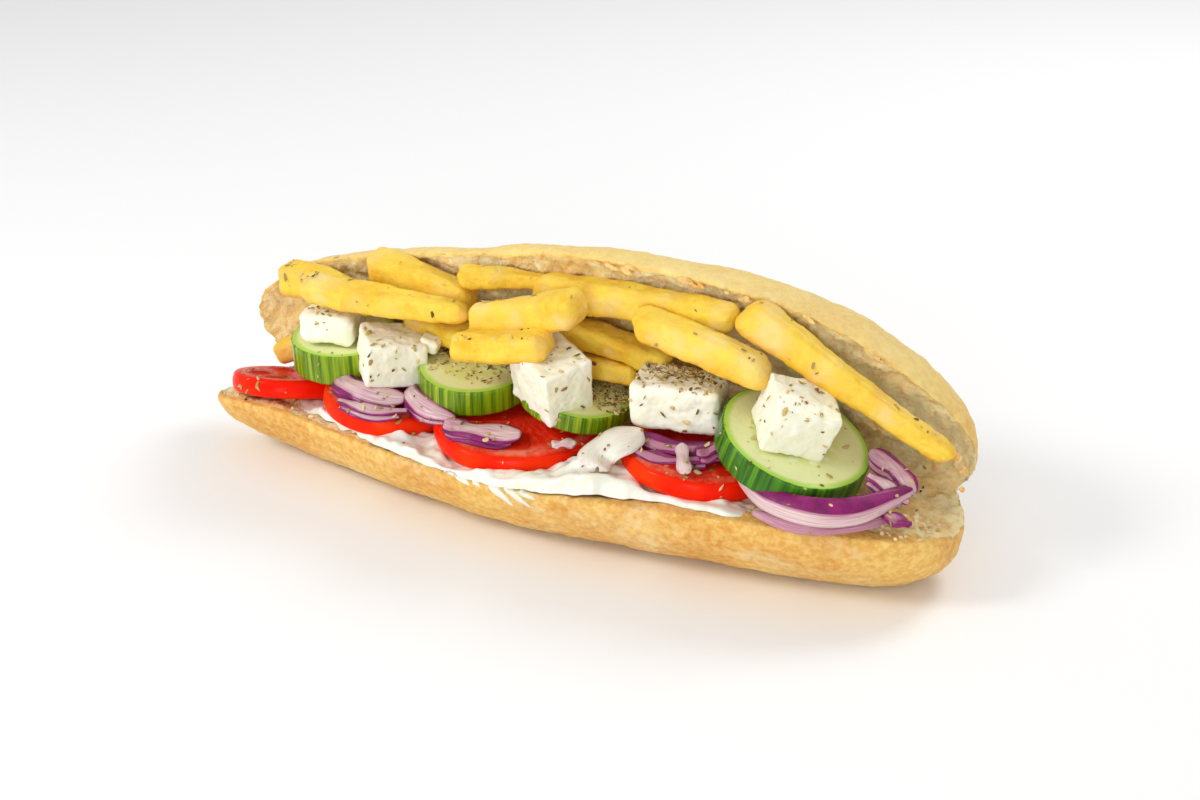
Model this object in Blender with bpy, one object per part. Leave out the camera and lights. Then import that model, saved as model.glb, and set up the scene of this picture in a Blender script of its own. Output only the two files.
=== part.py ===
# Open submarine sandwich: a crusty roll cut lengthwise and filled with tomato, cucumber,
# white cheese, thick fried potato, red onion and white sauce, under dried oregano.
# Metres, X along the roll, Y to the back, Z up, origin at the middle of the flat underside.

import math
import random

import bmesh
import bpy
from mathutils import Euler, Matrix, Vector, noise
from mathutils.bvhtree import BVHTree

MM = 0.001

# Overall sizes
LOWER_CUT_HEIGHT = 25.0 * MM
HINGE_Y = 22.0 * MM
HINGE_Z = 22.5 * MM
OPEN_ANGLE = math.radians(75.0)
LOWER_DISH = 2.5 * MM
UPPER_DISH = 5.0 * MM
LOWER_BOWS = (1.45, 0.42)
UPPER_BOWS = (0.95, 0.9)
CRUST_RELIEF = 0.55 * MM
CRUMB_RELIEF = 0.9 * MM
PIECE_GAP = 0.32 * MM
SLICE_SIDES = 30
RANDOM_SEED = 17

# Roll outline, one row a station in mm: x, hinge edge, cut rim, depth, lift of the cut face.
# Edges are measured across the cut face from the hinge line.
LOWER_STATIONS = (
    (-136.0, 25.0, 29.0, 2.0, -6.5),
    (-133.0, 18.0, 35.0, 9.0, -4.5),
    (-126.0, 13.0, 41.5, 16.0, -1.5),
    (-114.0, 8.0, 44.5, 22.0, 0.5),
    (-92.0, 0.0, 47.5, 27.5, 1.0),
    (-66.0, -3.0, 53.0, 28.0, 0.5),
    (-38.0, -3.5, 58.5, 28.0, 0.0),
    (-4.0, -4.0, 62.5, 28.5, 0.5),
    (30.0, -4.0, 61.0, 30.0, 2.0),
    (64.0, -4.0, 58.5, 32.0, 4.0),
    (96.0, -3.5, 55.0, 32.0, 4.5),
    (116.0, -2.0, 49.0, 29.5, 3.5),
    (129.0, 1.0, 42.0, 22.5, 1.5),
    (135.0, 8.0, 34.0, 14.0, -1.5),
    (137.5, 17.0, 24.0, 3.0, -6.0),
)
UPPER_STATIONS = (
    (-136.0, 12.0, 17.0, 2.0, 0.0),
    (-133.5, 7.0, 24.0, 8.0, 0.0),
    (-128.0, 5.0, 31.0, 12.0, 0.0),
    (-115.0, 5.0, 40.5, 16.0, 0.0),
    (-94.0, -1.0, 49.0, 19.0, 0.0),
    (-62.0, -5.0, 57.0, 21.0, 0.0),
    (-34.0, -5.0, 62.0, 23.0, 0.0),
    (-4.0, -5.0, 67.5, 25.5, 0.0),
    (30.0, -5.0, 67.5, 29.0, 0.0),
    (64.0, -5.0, 64.0, 32.0, 0.0),
    (90.0, -5.0, 56.5, 31.0, 0.0),
    (110.0, -4.0, 46.0, 27.0, 0.0),
    (125.0, -1.0, 34.0, 21.0, 0.0),
    (132.5, 4.0, 26.0, 13.0, 0.0),
    (136.0, 12.0, 18.0, 3.0, 0.0),
)
ROLL_RINGS = 36
CUT_POINTS = 9
CRUST_POINTS = 14

# Round slices: name, centre in mm, radius, thickness, tilt in degrees, warp
TOMATO_SLICES = (
    ("tomato_1", (-104.0, -1.0, 26.0), 22.0, 6.5, (-16.0, 0.0, 10.0), 0.4),
    ("tomato_2", (-62.0, -5.5, 29.5), 24.0, 6.5, (3.0, 2.0, 60.0), 0.3),
    ("tomato_3", (-11.5, -6.0, 29.5), 29.0, 6.5, (3.0, 1.5, 20.0), 0.5),
    ("tomato_4", (54.0, -5.0, 32.5), 26.0, 6.5, (3.0, -1.0, 80.0), 0.4),
)
CUCUMBER_SLICES = (
    ("cucumber_1", (-85.0, 0.5, 42.0), 19.0, 11.0, (4.0, 0.0, 0.0), 0.0),
    ("cucumber_2", (-32.0, -0.5, 41.5), 19.5, 9.0, (5.0, 0.0, 30.0), 0.3),
    ("cucumber_3", (6.0, 0.0, 41.0), 19.0, 6.0, (8.0, 3.0, 70.0), 0.6),
    ("cucumber_4", (86.5, -5.0, 44.5), 23.5, 8.0, (32.0, 11.0, 0.0), 0.0),
)
# Cheese: name, centre in mm, size in mm, turn in degrees, seed
CHEESE_BLOCKS = (
    ("feta_1", (-86.0, -5.5, 53.4), (20.0, 17.0, 11.0), (3.0, 0.0, 12.0), 1),
    ("feta_2", (-60.5, -8.0, 46.8), (21.0, 20.0, 16.0), (4.0, 6.0, 42.0), 2),
    ("feta_3", (2.5, -11.0, 51.7), (22.0, 18.0, 20.0), (12.0, 12.0, -28.0), 3),
    ("feta_4", (44.0, -1.0, 47.0), (29.0, 23.0, 12.5), (4.0, 0.0, 10.0), 4),
    ("feta_5", (86.5, -10.5, 55.5), (21.0, 19.0, 17.0), (24.0, 16.0, 32.0), 5),
    ("feta_crumb", (-47.5, -4.0, 52.0), (7.0, 6.0, 5.0), (10.0, 20.0, 15.0), 6),
)
# Fries: name, three points of the bend in mm, width and height in mm, taper of the far end
FRIES = (
    ("fry_01", ((-113.0, 4.0, 63.0), (-94.0, 4.0, 62.5), (-72.0, 3.0, 59.0)), 11.0, 12.0, 0.9),
    ("fry_02", ((-95.0, -8.5, 66.3), (-62.0, -9.0, 66.5), (-31.0, -6.0, 66.5)), 11.0, 10.0, 0.8),
    ("fry_03", ((-76.0, 5.0, 73.5), (-55.0, 4.5, 70.5), (-34.0, 4.0, 66.0)), 12.0, 12.0, 0.9),
    ("fry_04", ((-38.0, 0.0, 76.5), (-24.0, 5.0, 76.5), (-8.0, 9.0, 76.0)), 8.0, 7.0, 0.8),
    ("fry_05", ((-29.0, -6.0, 64.5), (-8.0, -8.0, 71.0), (14.0, -12.5, 78.5)), 12.0, 12.0, 1.05),
    ("fry_06", ((-31.0, -14.5, 58.5), (-14.0, -16.0, 61.5), (5.0, -16.0, 66.0)), 12.0, 10.0, 1.0),
    ("fry_07", ((-12.0, 7.0, 74.0), (24.0, 4.0, 76.5), (61.0, 2.5, 77.0)), 11.0, 12.0, 0.9),
    ("fry_08", ((30.0, -6.0, 75.0), (53.0, -8.0, 71.0), (77.0, -9.0, 65.5)), 12.0, 11.0, 1.0),
    ("fry_09", ((67.0, 2.0, 80.0), (98.0, 0.5, 63.5), (132.0, 2.0, 45.0)), 11.0, 12.0, 0.6),
    ("fry_10", ((-11.0, 5.0, 62.5), (12.0, 7.0, 60.0), (36.0, 8.0, 55.5)), 11.0, 10.0, 0.9),
    ("fry_11", ((5.0, 4.0, 51.0), (14.0, 5.0, 51.0), (26.0, 6.0, 50.0)), 8.0, 8.0, 1.0),
    ("fry_12", ((-122.5, 12.0, 28.5), (-113.0, 11.0, 33.5), (-103.0, 10.0, 39.5)), 10.0, 9.0, 0.9),
    ("fry_13", ((-62.0, 6.0, 54.0), (-44.0, 3.0, 54.0), (-24.0, 2.0, 53.5)), 11.0, 10.0, 0.9),
)
# Red onion strips: name, points in mm, width and thickness in mm, lean of the strip in degrees
ONION_STRIPS = (
    ("onion_01", ((-79, -14, 39), (-73, -19, 38.5), (-62, -21, 38), (-50, -18, 37)), 10.0, 2.0, -25),
    ("onion_02", ((-71, -26, 35.4), (-59, -27, 35.2), (-46, -23, 35)), 6.0, 2.0, -10),
    ("onion_03", ((-53, -9, 38), (-49, -16, 38), (-40, -21, 37), (-28, -23, 36)), 7.5, 2.0, -35),
    ("onion_04", ((-29, -26, 35.8), (-17, -27, 36), (-3, -23, 35.8)), 10.0, 2.2, -12),
    ("onion_05", ((33, -14, 42), (26, -22, 40), (26, -29, 36.5), (34, -34, 34.8)), 8.5, 2.0, -35),
    ("onion_06", ((33, -13, 38.8), (45, -16, 38.8), (57, -14, 38.8), (67, -9, 38.8)), 8.0, 2.0, -25),
    ("onion_07", ((38, -22, 37.4), (50, -22, 37.4), (62, -17, 37.8)), 6.0, 2.0, -8),
    ("onion_08", ((52, -18, 41), (55, -24, 39.5), (58, -29, 37.7)), 4.5, 1.8, 0),
    ("onion_09", ((9, -23, 34.6), (15, -19, 34.8)), 5.0, 1.8, 0),
    ("onion_10", ((58, -20, 40.5), (65, -12, 41.5)), 6.0, 1.8, -20),
    ("onion_11", ((74, -24, 36.5), (87, -31, 35), (101, -31.5, 34.5), (112, -25, 34), (123, -9, 34)), 8.5, 2.0, -45),
    ("onion_12", ((82, -32, 31), (97, -34, 30.8), (110, -29, 30.8), (120, -17, 31.2)), 5.0, 2.4, -20),
    ("onion_13", ((108, -1, 43.5), (117, -3, 40), (124, -8, 36)), 7.0, 1.8, -30),
    ("onion_14", ((111, -12, 41), (118, -12, 38), (124, -13, 35)), 5.5, 1.8, -20),
    ("onion_15", ((118, -19, 33), (127, -20, 31.8)), 6.0, 1.8, -5),
)
# White sauce along the front rim: x, y, z, width and height in mm
SAUCE_PATH = (
    (-98.0, -18.0, 26.5, 4.0, 2.0),
    (-88.0, -19.5, 26.8, 8.0, 3.6),
    (-72.0, -24.0, 26.8, 10.0, 4.0),
    (-54.0, -29.5, 26.2, 11.0, 4.6),
    (-36.0, -32.5, 25.8, 11.0, 5.0),
    (-14.0, -35.0, 26.2, 12.0, 6.0),
    (3.0, -36.0, 26.8, 12.5, 6.6),
    (18.0, -34.5, 28.0, 12.5, 7.0),
    (30.0, -32.0, 29.2, 12.0, 7.0),
    (44.0, -31.0, 29.9, 9.0, 4.6),
    (60.0, -30.5, 30.6, 7.0, 3.4),
    (80.0, -29.5, 31.0, 4.0, 2.0),
)
SAUCE_DRIPS = (
    ((-9.0, -37.0, 26.5, 6.0, 3.4), (-5.0, -41.0, 24.2, 5.0, 2.8), (0.0, -42.0, 19.5, 3.4, 2.0)),
    ((0.0, -38.0, 26.0, 6.0, 3.4), (5.0, -41.8, 22.8, 4.6, 2.6), (9.0, -41.2, 17.5, 3.0, 1.8)),
)
# Oregano flakes that show from a step away: piece, how many
FLAKE_COUNTS = (
    ("feta_4", 8),
    ("cucumber_2", 6),
    ("cucumber_3", 6),
    ("feta_3", 4),
    ("feta_5", 4),
    ("feta_2", 3),
    ("fry_07", 4),
    ("fry_08", 4),
    ("fry_02", 4),
    ("cucumber_4", 3),
)
FLAKE_LENGTH = 4.2 * MM
FLAKE_THICK = 1.3 * MM


def clear_scene():
    for obj in list(bpy.data.objects):
        bpy.data.objects.remove(obj, do_unlink=True)


def new_collection(name):
    coll = bpy.data.collections.new(name)
    bpy.context.scene.collection.children.link(coll)
    return coll


def make_material(name, colour, roughness):
    mat = bpy.data.materials.new(name)
    mat.use_nodes = True
    shader = mat.node_tree.nodes["Principled BSDF"]
    shader.inputs["Base Color"].default_value = (*colour, 1.0)
    shader.inputs["Roughness"].default_value = roughness
    return mat


def mesh_object(name, bm, coll):
    bmesh.ops.recalc_face_normals(bm, faces=bm.faces[:])
    mesh = bpy.data.meshes.new(name)
    bm.to_mesh(mesh)
    bm.free()
    obj = bpy.data.objects.new(name, mesh)
    coll.objects.link(obj)
    return obj


def loft(rings, coll, name):
    # Joins rings of equal point count into one closed body
    bm = bmesh.new()
    rows = [[bm.verts.new(p) for p in ring] for ring in rings]
    for near, far in zip(rows, rows[1:]):
        for i in range(len(near)):
            j = (i + 1) % len(near)
            bm.faces.new((near[i], near[j], far[j], far[i]))
    bm.faces.new(rows[0])
    bm.faces.new(rows[-1])
    return mesh_object(name, bm, coll)


def smooth_rows(rows, position):
    # Catmull-Rom value of a table whose first column is x
    k = 0
    while k < len(rows) - 2 and rows[k + 1][0] < position:
        k += 1
    before = rows[max(k - 1, 0)]
    start = rows[k]
    end = rows[k + 1]
    after = rows[min(k + 2, len(rows) - 1)]
    span = end[0] - start[0]
    t = (position - start[0]) / span
    values = []
    for a, b, c, d in zip(before[1:], start[1:], end[1:], after[1:]):
        m0 = (c - a) / (end[0] - before[0]) * span
        m1 = (d - b) / (after[0] - start[0]) * span
        h = (2 * t**3 - 3 * t**2 + 1) * b + (t**3 - 2 * t**2 + t) * m0
        h += (-2 * t**3 + 3 * t**2) * c + (t**3 - t**2) * m1
        values.append(h)
    return values


def half_loaf(name, rows, dish, bows, to_world, coll):
    rings = []
    first = rows[0][0]
    last = rows[-1][0]
    for i in range(ROLL_RINGS):
        s = 0.5 - 0.5 * math.cos(math.pi * i / (ROLL_RINGS - 1))
        s = 0.55 * s + 0.45 * i / (ROLL_RINGS - 1)
        x = first + (last - first) * s
        near, far, depth, lift = smooth_rows(rows, x)
        middle = (near + far) / 2
        half = (far - near) / 2
        ring = []
        for k in range(CUT_POINTS + 1):
            t = k / CUT_POINTS
            hollow = dish / MM * math.sin(math.pi * t) ** 0.6 * min(1.0, depth / 20)
            ring.append(to_world(x, near + (far - near) * t, hollow, lift))
        for k in range(1, CRUST_POINTS):
            a = math.pi * k / CRUST_POINTS
            bow = bows[0] if math.cos(a) > 0 else bows[1]
            across = middle + half * math.copysign(abs(math.cos(a)) ** bow, math.cos(a))
            ring.append(to_world(x, across, depth * math.sin(a) ** 0.95, lift))
        rings.append(ring)
    return loft(rings, coll, name)


def lower_world(x, across, out, lift):
    height = LOWER_CUT_HEIGHT / MM + lift - out
    return Vector((x * MM, HINGE_Y - across * MM, max(0.0, height) * MM))


def upper_world(x, across, out, lift):
    y = HINGE_Y - across * MM * math.cos(OPEN_ANGLE) + out * MM * math.sin(OPEN_ANGLE)
    z = HINGE_Z + across * MM * math.sin(OPEN_ANGLE) + out * MM * math.cos(OPEN_ANGLE)
    return Vector((x * MM, y, z))


def make_slice(name, centre, radius, thick, turn, warp, grow, coll):
    # A turned disc with soft edges, slightly out of round and warped
    rad = radius * MM + grow
    half = thick * MM / 2 + grow
    soft = min(1.0 * MM, half * 0.4)
    profile = ((rad - soft, -half), (rad, -half + soft), (rad, half - soft), (rad - soft, half))
    bm = bmesh.new()
    rows = []
    for r, h in profile:
        row = []
        for k in range(SLICE_SIDES):
            a = 2 * math.pi * k / SLICE_SIDES
            wobble = 1 + 0.012 * math.sin(2 * a + centre[0]) + 0.006 * math.sin(5 * a + centre[1])
            lift = warp * MM * math.cos(2 * a + 0.6)
            row.append(bm.verts.new((r * wobble * math.cos(a), r * wobble * math.sin(a), h + lift)))
        rows.append(row)
    for low, high in zip(rows, rows[1:]):
        for k in range(SLICE_SIDES):
            j = (k + 1) % SLICE_SIDES
            bm.faces.new((low[k], low[j], high[j], high[k]))
    for row, h in ((rows[0], -half), (rows[-1], half)):
        hub = bm.verts.new((0, 0, h))
        for k in range(SLICE_SIDES):
            bm.faces.new((row[k], row[(k + 1) % SLICE_SIDES], hub))
    angles = [math.radians(v) for v in turn]
    place = Matrix.Translation(Vector(centre) * MM) @ Euler(angles).to_matrix().to_4x4()
    bmesh.ops.transform(bm, matrix=place, verts=bm.verts[:])
    return mesh_object(name, bm, coll)


def make_block(name, centre, size, turn, seed, grow, coll):
    # A crumbly cheese block: softened cube with broken faces
    bm = bmesh.new()
    bmesh.ops.create_cube(bm, size=1.0)
    bmesh.ops.subdivide_edges(bm, edges=bm.edges[:], cuts=3, use_grid_fill=True)
    sides = [v * MM / 2 for v in size]
    shortest = min(sides)
    for v in bm.verts:
        p = Vector([v.co[i] * 2 * sides[i] for i in range(3)])
        core = Vector([max(-s + 0.28 * shortest, min(s - 0.28 * shortest, c)) for s, c in zip(sides, p)])
        away = p - core
        if away.length > 0:
            p = core + away.normalized() * min(away.length, 0.28 * shortest)
        rough = noise.noise(p * 130 + Vector((seed * 7.3, 0, 0)))
        p = p + p.normalized() * (rough * 0.9 * MM + grow * 1.25)
        v.co = p
    angles = [math.radians(v) for v in turn]
    place = Matrix.Translation(Vector(centre) * MM) @ Euler(angles).to_matrix().to_4x4()
    bmesh.ops.transform(bm, matrix=place, verts=bm.verts[:])
    return mesh_object(name, bm, coll)


def curve_points(points, count):
    # Evenly spaced points of a smooth line through the given ones
    rows = [(i, *p) for i, p in enumerate(points)]
    last = len(points) - 1
    return [Vector(smooth_rows(rows, min(last * i / (count - 1), last - 1e-6))) for i in range(count)]


def sweep(name, points, sections, coll, up=Vector((0, 0, 1))):
    # Sweeps a closed section along a line; each section is a list of (side, height) in metres
    rings = []
    count = len(points)
    for i, p in enumerate(points):
        ahead = points[min(i + 1, count - 1)] - points[max(i - 1, 0)]
        ahead.normalize()
        side = ahead.cross(up).normalized()
        top = side.cross(ahead)
        rings.append([p + side * a + top * b for a, b in sections[i]])
    return loft(rings, coll, name)


def make_fry(name, line, width, height, taper, grow, coll):
    stations = 8
    points = [p * MM for p in curve_points(line, stations)]
    first = (points[0] - points[1]).normalized()
    last = (points[-1] - points[-2]).normalized()
    points[0] = points[0] + first * grow
    points[-1] = points[-1] + last * grow
    corner = 0.32
    sections = []
    for i in range(stations):
        t = i / (stations - 1)
        shrink = (1 + (taper - 1) * t) * (0.84 if i in (0, stations - 1) else 1.0)
        wave = 1 + 0.05 * math.sin(3.1 * i + width * 2 + line[0][0])
        a = width * MM / 2 * shrink * wave + grow
        b = height * MM / 2 * shrink / wave + grow
        c = corner * min(a, b)
        sections.append([(a, b - c), (a - c, b), (c - a, b), (-a, b - c),
                         (-a, c - b), (c - a, -b), (a - c, -b), (a, c - b)])
    return sweep(name, points, sections, coll)


def make_strip(name, line, width, thick, lean, grow, coll):
    stations = 2 + 3 * (len(line) - 1)
    points = [p * MM for p in curve_points(line, stations)]
    first = (points[0] - points[1]).normalized()
    last = (points[-1] - points[-2]).normalized()
    points[0] = points[0] + first * grow
    points[-1] = points[-1] + last * grow
    turn = math.radians(lean)
    sections = []
    for i in range(stations):
        narrow = 0.62 if i in (0, stations - 1) else 1.0
        a = width * MM / 2 * narrow + grow
        b = thick * MM / 2 + grow
        arch = 0.12 * width * MM
        flat = [(a, 0.0), (0.55 * a, b), (-0.55 * a, b), (-a, 0.0), (-0.55 * a, -b), (0.55 * a, -b)]
        section = []
        for p, q in flat:
            q = q - arch * (p / a) ** 2
            section.append((p * math.cos(turn) - q * math.sin(turn), p * math.sin(turn) + q * math.cos(turn)))
        sections.append(section)
    return sweep(name, points, sections, coll)


def blob_line(name, rows, grow, coll):
    # A line of thick sauce: flattened oval sections
    points = []
    sections = []
    for i, (x, y, z, width, height) in enumerate(rows):
        points.append(Vector((x, y, z)) * MM)
        a = width * MM / 2 + grow
        b = height * MM / 2 + grow
        sections.append([(a * math.cos(k * math.pi / 4), b * math.sin(k * math.pi / 4)) for k in range(8)])
    first = (points[0] - points[1]).normalized()
    last = (points[-1] - points[-2]).normalized()
    points[0] = points[0] + first * grow
    points[-1] = points[-1] + last * grow
    return sweep(name, points, sections, coll)


def open_edges(mesh):
    bm = bmesh.new()
    bm.from_mesh(mesh)
    count = sum(1 for e in bm.edges if not e.is_manifold)
    bm.free()
    return count


def apply_boolean(obj, others, operation):
    # EXACT first; MANIFOLD where that leaves the body open
    helper = bpy.data.collections.new("helpers")
    bpy.context.scene.collection.children.link(helper)
    for other in others:
        for owner in list(other.users_collection):
            owner.objects.unlink(other)
        helper.objects.link(other)
    old = obj.data
    for solver, weld in (("EXACT", 0.00002), ("EXACT", 0.000002), ("MANIFOLD", 0.000005), ("MANIFOLD", 0.0)):
        mod = obj.modifiers.new(operation.lower(), "BOOLEAN")
        mod.operation = operation
        mod.operand_type = "COLLECTION"
        mod.collection = helper
        mod.solver = solver
        bpy.context.view_layer.update()
        graph = bpy.context.evaluated_depsgraph_get()
        mesh = bpy.data.meshes.new_from_object(obj.evaluated_get(graph))
        obj.modifiers.clear()
        keep_main_body(mesh, weld)
        if open_edges(mesh) == 0:
            break
    obj.data = mesh
    bpy.data.meshes.remove(old)
    for other in others:
        bpy.data.objects.remove(other, do_unlink=True)
    bpy.data.collections.remove(helper)


def keep_main_body(mesh, weld):
    # Welds stray points and drops loose scraps
    bm = bmesh.new()
    bm.from_mesh(mesh)
    if weld > 0:
        bmesh.ops.remove_doubles(bm, verts=bm.verts[:], dist=weld)
        bmesh.ops.dissolve_degenerate(bm, edges=bm.edges[:], dist=weld)
    todo = set(bm.verts)
    groups = []
    while todo:
        stack = [todo.pop()]
        group = list(stack)
        while stack:
            v = stack.pop()
            for e in v.link_edges:
                w = e.other_vert(v)
                if w in todo:
                    todo.remove(w)
                    stack.append(w)
                    group.append(w)
        groups.append(group)
    groups.sort(key=len, reverse=True)
    for group in groups[1:]:
        bmesh.ops.delete(bm, geom=group, context="VERTS")
    bm.to_mesh(mesh)
    bm.free()


def boxes_meet(a, b, margin):
    for i in range(3):
        a_values = [v.co[i] for v in a.data.vertices]
        b_values = [v.co[i] for v in b.data.vertices]
        if min(a_values) > max(b_values) + margin or min(b_values) > max(a_values) + margin:
            return False
    return True


def roughen_roll(obj):
    # Crust swells and crumb tears, with the underside left flat
    bm = bmesh.new()
    bm.from_mesh(obj.data)
    bm.normal_update()
    inward = Vector((0, -math.sin(OPEN_ANGLE), -math.cos(OPEN_ANGLE)))
    moves = []
    for v in bm.verts:
        if v.co.z < 0.4 * MM:
            moves.append(Vector((0, 0, -v.co.z)))
            continue
        cut_face = max(v.normal.dot(inward), v.normal.z if v.co.z < 32 * MM else 0.0) > 0.8
        amount = CRUMB_RELIEF if cut_face else CRUST_RELIEF
        wide = noise.noise(v.co * 45)
        fine = noise.noise(v.co * 140 + Vector((3, 9, 1)))
        moves.append(v.normal * amount * (wide + 0.8 * fine))
    for v, move in zip(bm.verts, moves):
        v.co += move
        v.co.z = max(v.co.z, 0.0)
    bm.to_mesh(obj.data)
    bm.free()


def make_flake(place, length, rng, coll):
    bm = bmesh.new()
    sides = 6
    ring = []
    for k in range(sides):
        a = 2 * math.pi * k / sides
        r = length / 2 * (0.75 + 0.35 * rng.random())
        ring.append(bm.verts.new((r * math.cos(a), 0.55 * r * math.sin(a), 0)))
    top = bm.verts.new((0, 0, FLAKE_THICK * 0.5))
    low = bm.verts.new((0, 0, -FLAKE_THICK * 0.7))
    for k in range(sides):
        j = (k + 1) % sides
        bm.faces.new((ring[k], ring[j], top))
        bm.faces.new((ring[j], ring[k], low))
    bmesh.ops.transform(bm, matrix=place, verts=bm.verts[:])
    return mesh_object("flake", bm, coll)


def add_flakes(obj, count, others, rng, coll):
    # Seeded spots that see the sky and stand clear of other pieces, largest flakes first
    bm = bmesh.new()
    bm.from_mesh(obj.data)
    own = BVHTree.FromBMesh(bm)
    corners = [v.co.copy() for v in bm.verts]
    bm.free()
    rest = []
    for other in others:
        if other is not obj:
            temp = bmesh.new()
            temp.from_mesh(other.data)
            rest.append(BVHTree.FromBMesh(temp))
            temp.free()
    low = Vector([min(c[i] for c in corners) for i in range(3)])
    high = Vector([max(c[i] for c in corners) for i in range(3)])
    flakes = []
    spots = []
    tries = 0
    while len(flakes) < count and tries < 900:
        tries += 1
        start = Vector((rng.uniform(low.x, high.x), rng.uniform(low.y, high.y), high.z + 0.05))
        spot, normal, _, _ = own.ray_cast(start, Vector((0, 0, -1)))
        if spot is None or normal.z < 0.6:
            continue
        length = FLAKE_LENGTH * (1.0 - 0.4 * len(flakes) / count)
        sky = Vector((0.25, -0.6, 0.76)).normalized()
        if any(tree.ray_cast(spot + sky * 0.001, sky)[0] is not None for tree in rest):
            continue
        near = [tree.find_nearest(spot)[3] for tree in rest]
        if min(near) < length * 0.6 + 0.4 * MM:
            continue
        if any((spot - s).length < length * 1.1 for s in spots):
            continue
        edge = own.ray_cast(spot + Vector((0, 0, 0.05)) + Vector((0.0035, 0, 0)), Vector((0, 0, -1)))[0]
        edge_two = own.ray_cast(spot + Vector((0, 0, 0.05)) - Vector((0.0035, 0, 0)), Vector((0, 0, -1)))[0]
        if edge is None or edge_two is None:
            continue
        spots.append(spot)
        tilt = normal.to_track_quat("Z", "Y").to_matrix().to_4x4()
        spin = Matrix.Rotation(rng.uniform(0, math.tau), 4, "Z")
        place = Matrix.Translation(spot + normal * 0.1 * MM) @ tilt @ spin
        flakes.append(make_flake(place, length, rng, coll))
    if flakes:
        apply_boolean(obj, flakes, "UNION")
    return len(flakes)


def main():
    clear_scene()
    coll = new_collection("submarine_sandwich")

    crust = make_material("bread_crust", (0.78, 0.50, 0.22), 0.6)
    tomato = make_material("tomato_flesh", (0.70, 0.05, 0.02), 0.25)
    cucumber = make_material("cucumber_flesh", (0.45, 0.60, 0.15), 0.35)
    cheese = make_material("white_cheese", (0.90, 0.88, 0.80), 0.55)
    potato = make_material("fried_potato", (0.90, 0.62, 0.10), 0.45)
    onion = make_material("red_onion", (0.45, 0.12, 0.30), 0.3)
    sauce = make_material("white_sauce", (0.92, 0.90, 0.84), 0.3)

    # Each entry can be built at its real size or a little larger, to cut its neighbours clear
    entries = []
    for row in CHEESE_BLOCKS:
        entries.append((row[0], cheese, make_block, row[1:]))
    for row in FRIES:
        entries.append((row[0], potato, make_fry, row[1:]))
    for row in CUCUMBER_SLICES:
        entries.append((row[0], cucumber, make_slice, row[1:]))
    for row in TOMATO_SLICES:
        entries.append((row[0], tomato, make_slice, row[1:]))
    for row in ONION_STRIPS:
        entries.append((row[0], onion, make_strip, row[1:]))

    pieces = []
    builders = []
    for name, mat, builder, values in entries:
        piece = builder(name, *values, 0.0, coll)
        piece.data.materials.append(mat)
        cutters = []
        for done, (other_builder, other_values) in zip(pieces, builders):
            if boxes_meet(piece, done, PIECE_GAP):
                cutters.append(other_builder("cutter", *other_values, PIECE_GAP, coll))
        if cutters:
            apply_boolean(piece, cutters, "DIFFERENCE")
        pieces.append(piece)
        builders.append((builder, values))

    # Sauce: the line along the rim and its drips, cut clear of the pieces above
    white = blob_line("sauce", SAUCE_PATH, 0.0, coll)
    white.data.materials.append(sauce)
    drips = [blob_line("drip", rows, 0.0, coll) for rows in SAUCE_DRIPS]
    apply_boolean(white, drips, "UNION")
    cutters = []
    for done, (other_builder, other_values) in zip(pieces, builders):
        if boxes_meet(white, done, PIECE_GAP):
            cutters.append(other_builder("cutter", *other_values, PIECE_GAP, coll))
    apply_boolean(white, cutters, "DIFFERENCE")

    # Roll: both halves joined at the hinge, then cut clear of everything that sinks into it
    bread = half_loaf("bread", LOWER_STATIONS, LOWER_DISH, LOWER_BOWS, lower_world, coll)
    bread.data.materials.append(crust)
    upper = half_loaf("upper_half", UPPER_STATIONS, UPPER_DISH, UPPER_BOWS, upper_world, coll)
    apply_boolean(bread, [upper], "UNION")
    roughen_roll(bread)
    cutters = [blob_line("cutter", SAUCE_PATH, PIECE_GAP, coll)]
    cutters += [blob_line("cutter", rows, PIECE_GAP, coll) for rows in SAUCE_DRIPS]
    for done, (other_builder, other_values) in zip(pieces, builders):
        if boxes_meet(bread, done, PIECE_GAP):
            cutters.append(other_builder("cutter", *other_values, PIECE_GAP, coll))
    apply_boolean(bread, cutters, "DIFFERENCE")

    # Oregano flakes, fused to the pieces they lie on
    rng = random.Random(RANDOM_SEED)
    by_name = {piece.name: piece for piece in pieces}
    everything = pieces + [white, bread]
    for name, count in FLAKE_COUNTS:
        placed = add_flakes(by_name[name], count, everything, rng, coll)
        print("flakes on", name, placed)

    for obj in everything:
        for polygon in obj.data.polygons:
            polygon.use_smooth = not obj.name.startswith("feta")


main()
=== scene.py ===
# %% [markdown]
# # Open submarine sandwich
# A crusty roll is cut lengthwise and opened like a book, then filled with tomato,
# cucumber, white cheese, fried potato, red onion and white sauce under dried oregano.
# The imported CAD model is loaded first. It fixes every place and size, and each soft
# piece below is modelled again in finer shape over its CAD solid.

# %% Load the frame
import math
import random

import bmesh
import bpy
from mathutils import Euler, Matrix, Vector, noise
from mathutils.bvhtree import BVHTree


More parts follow.
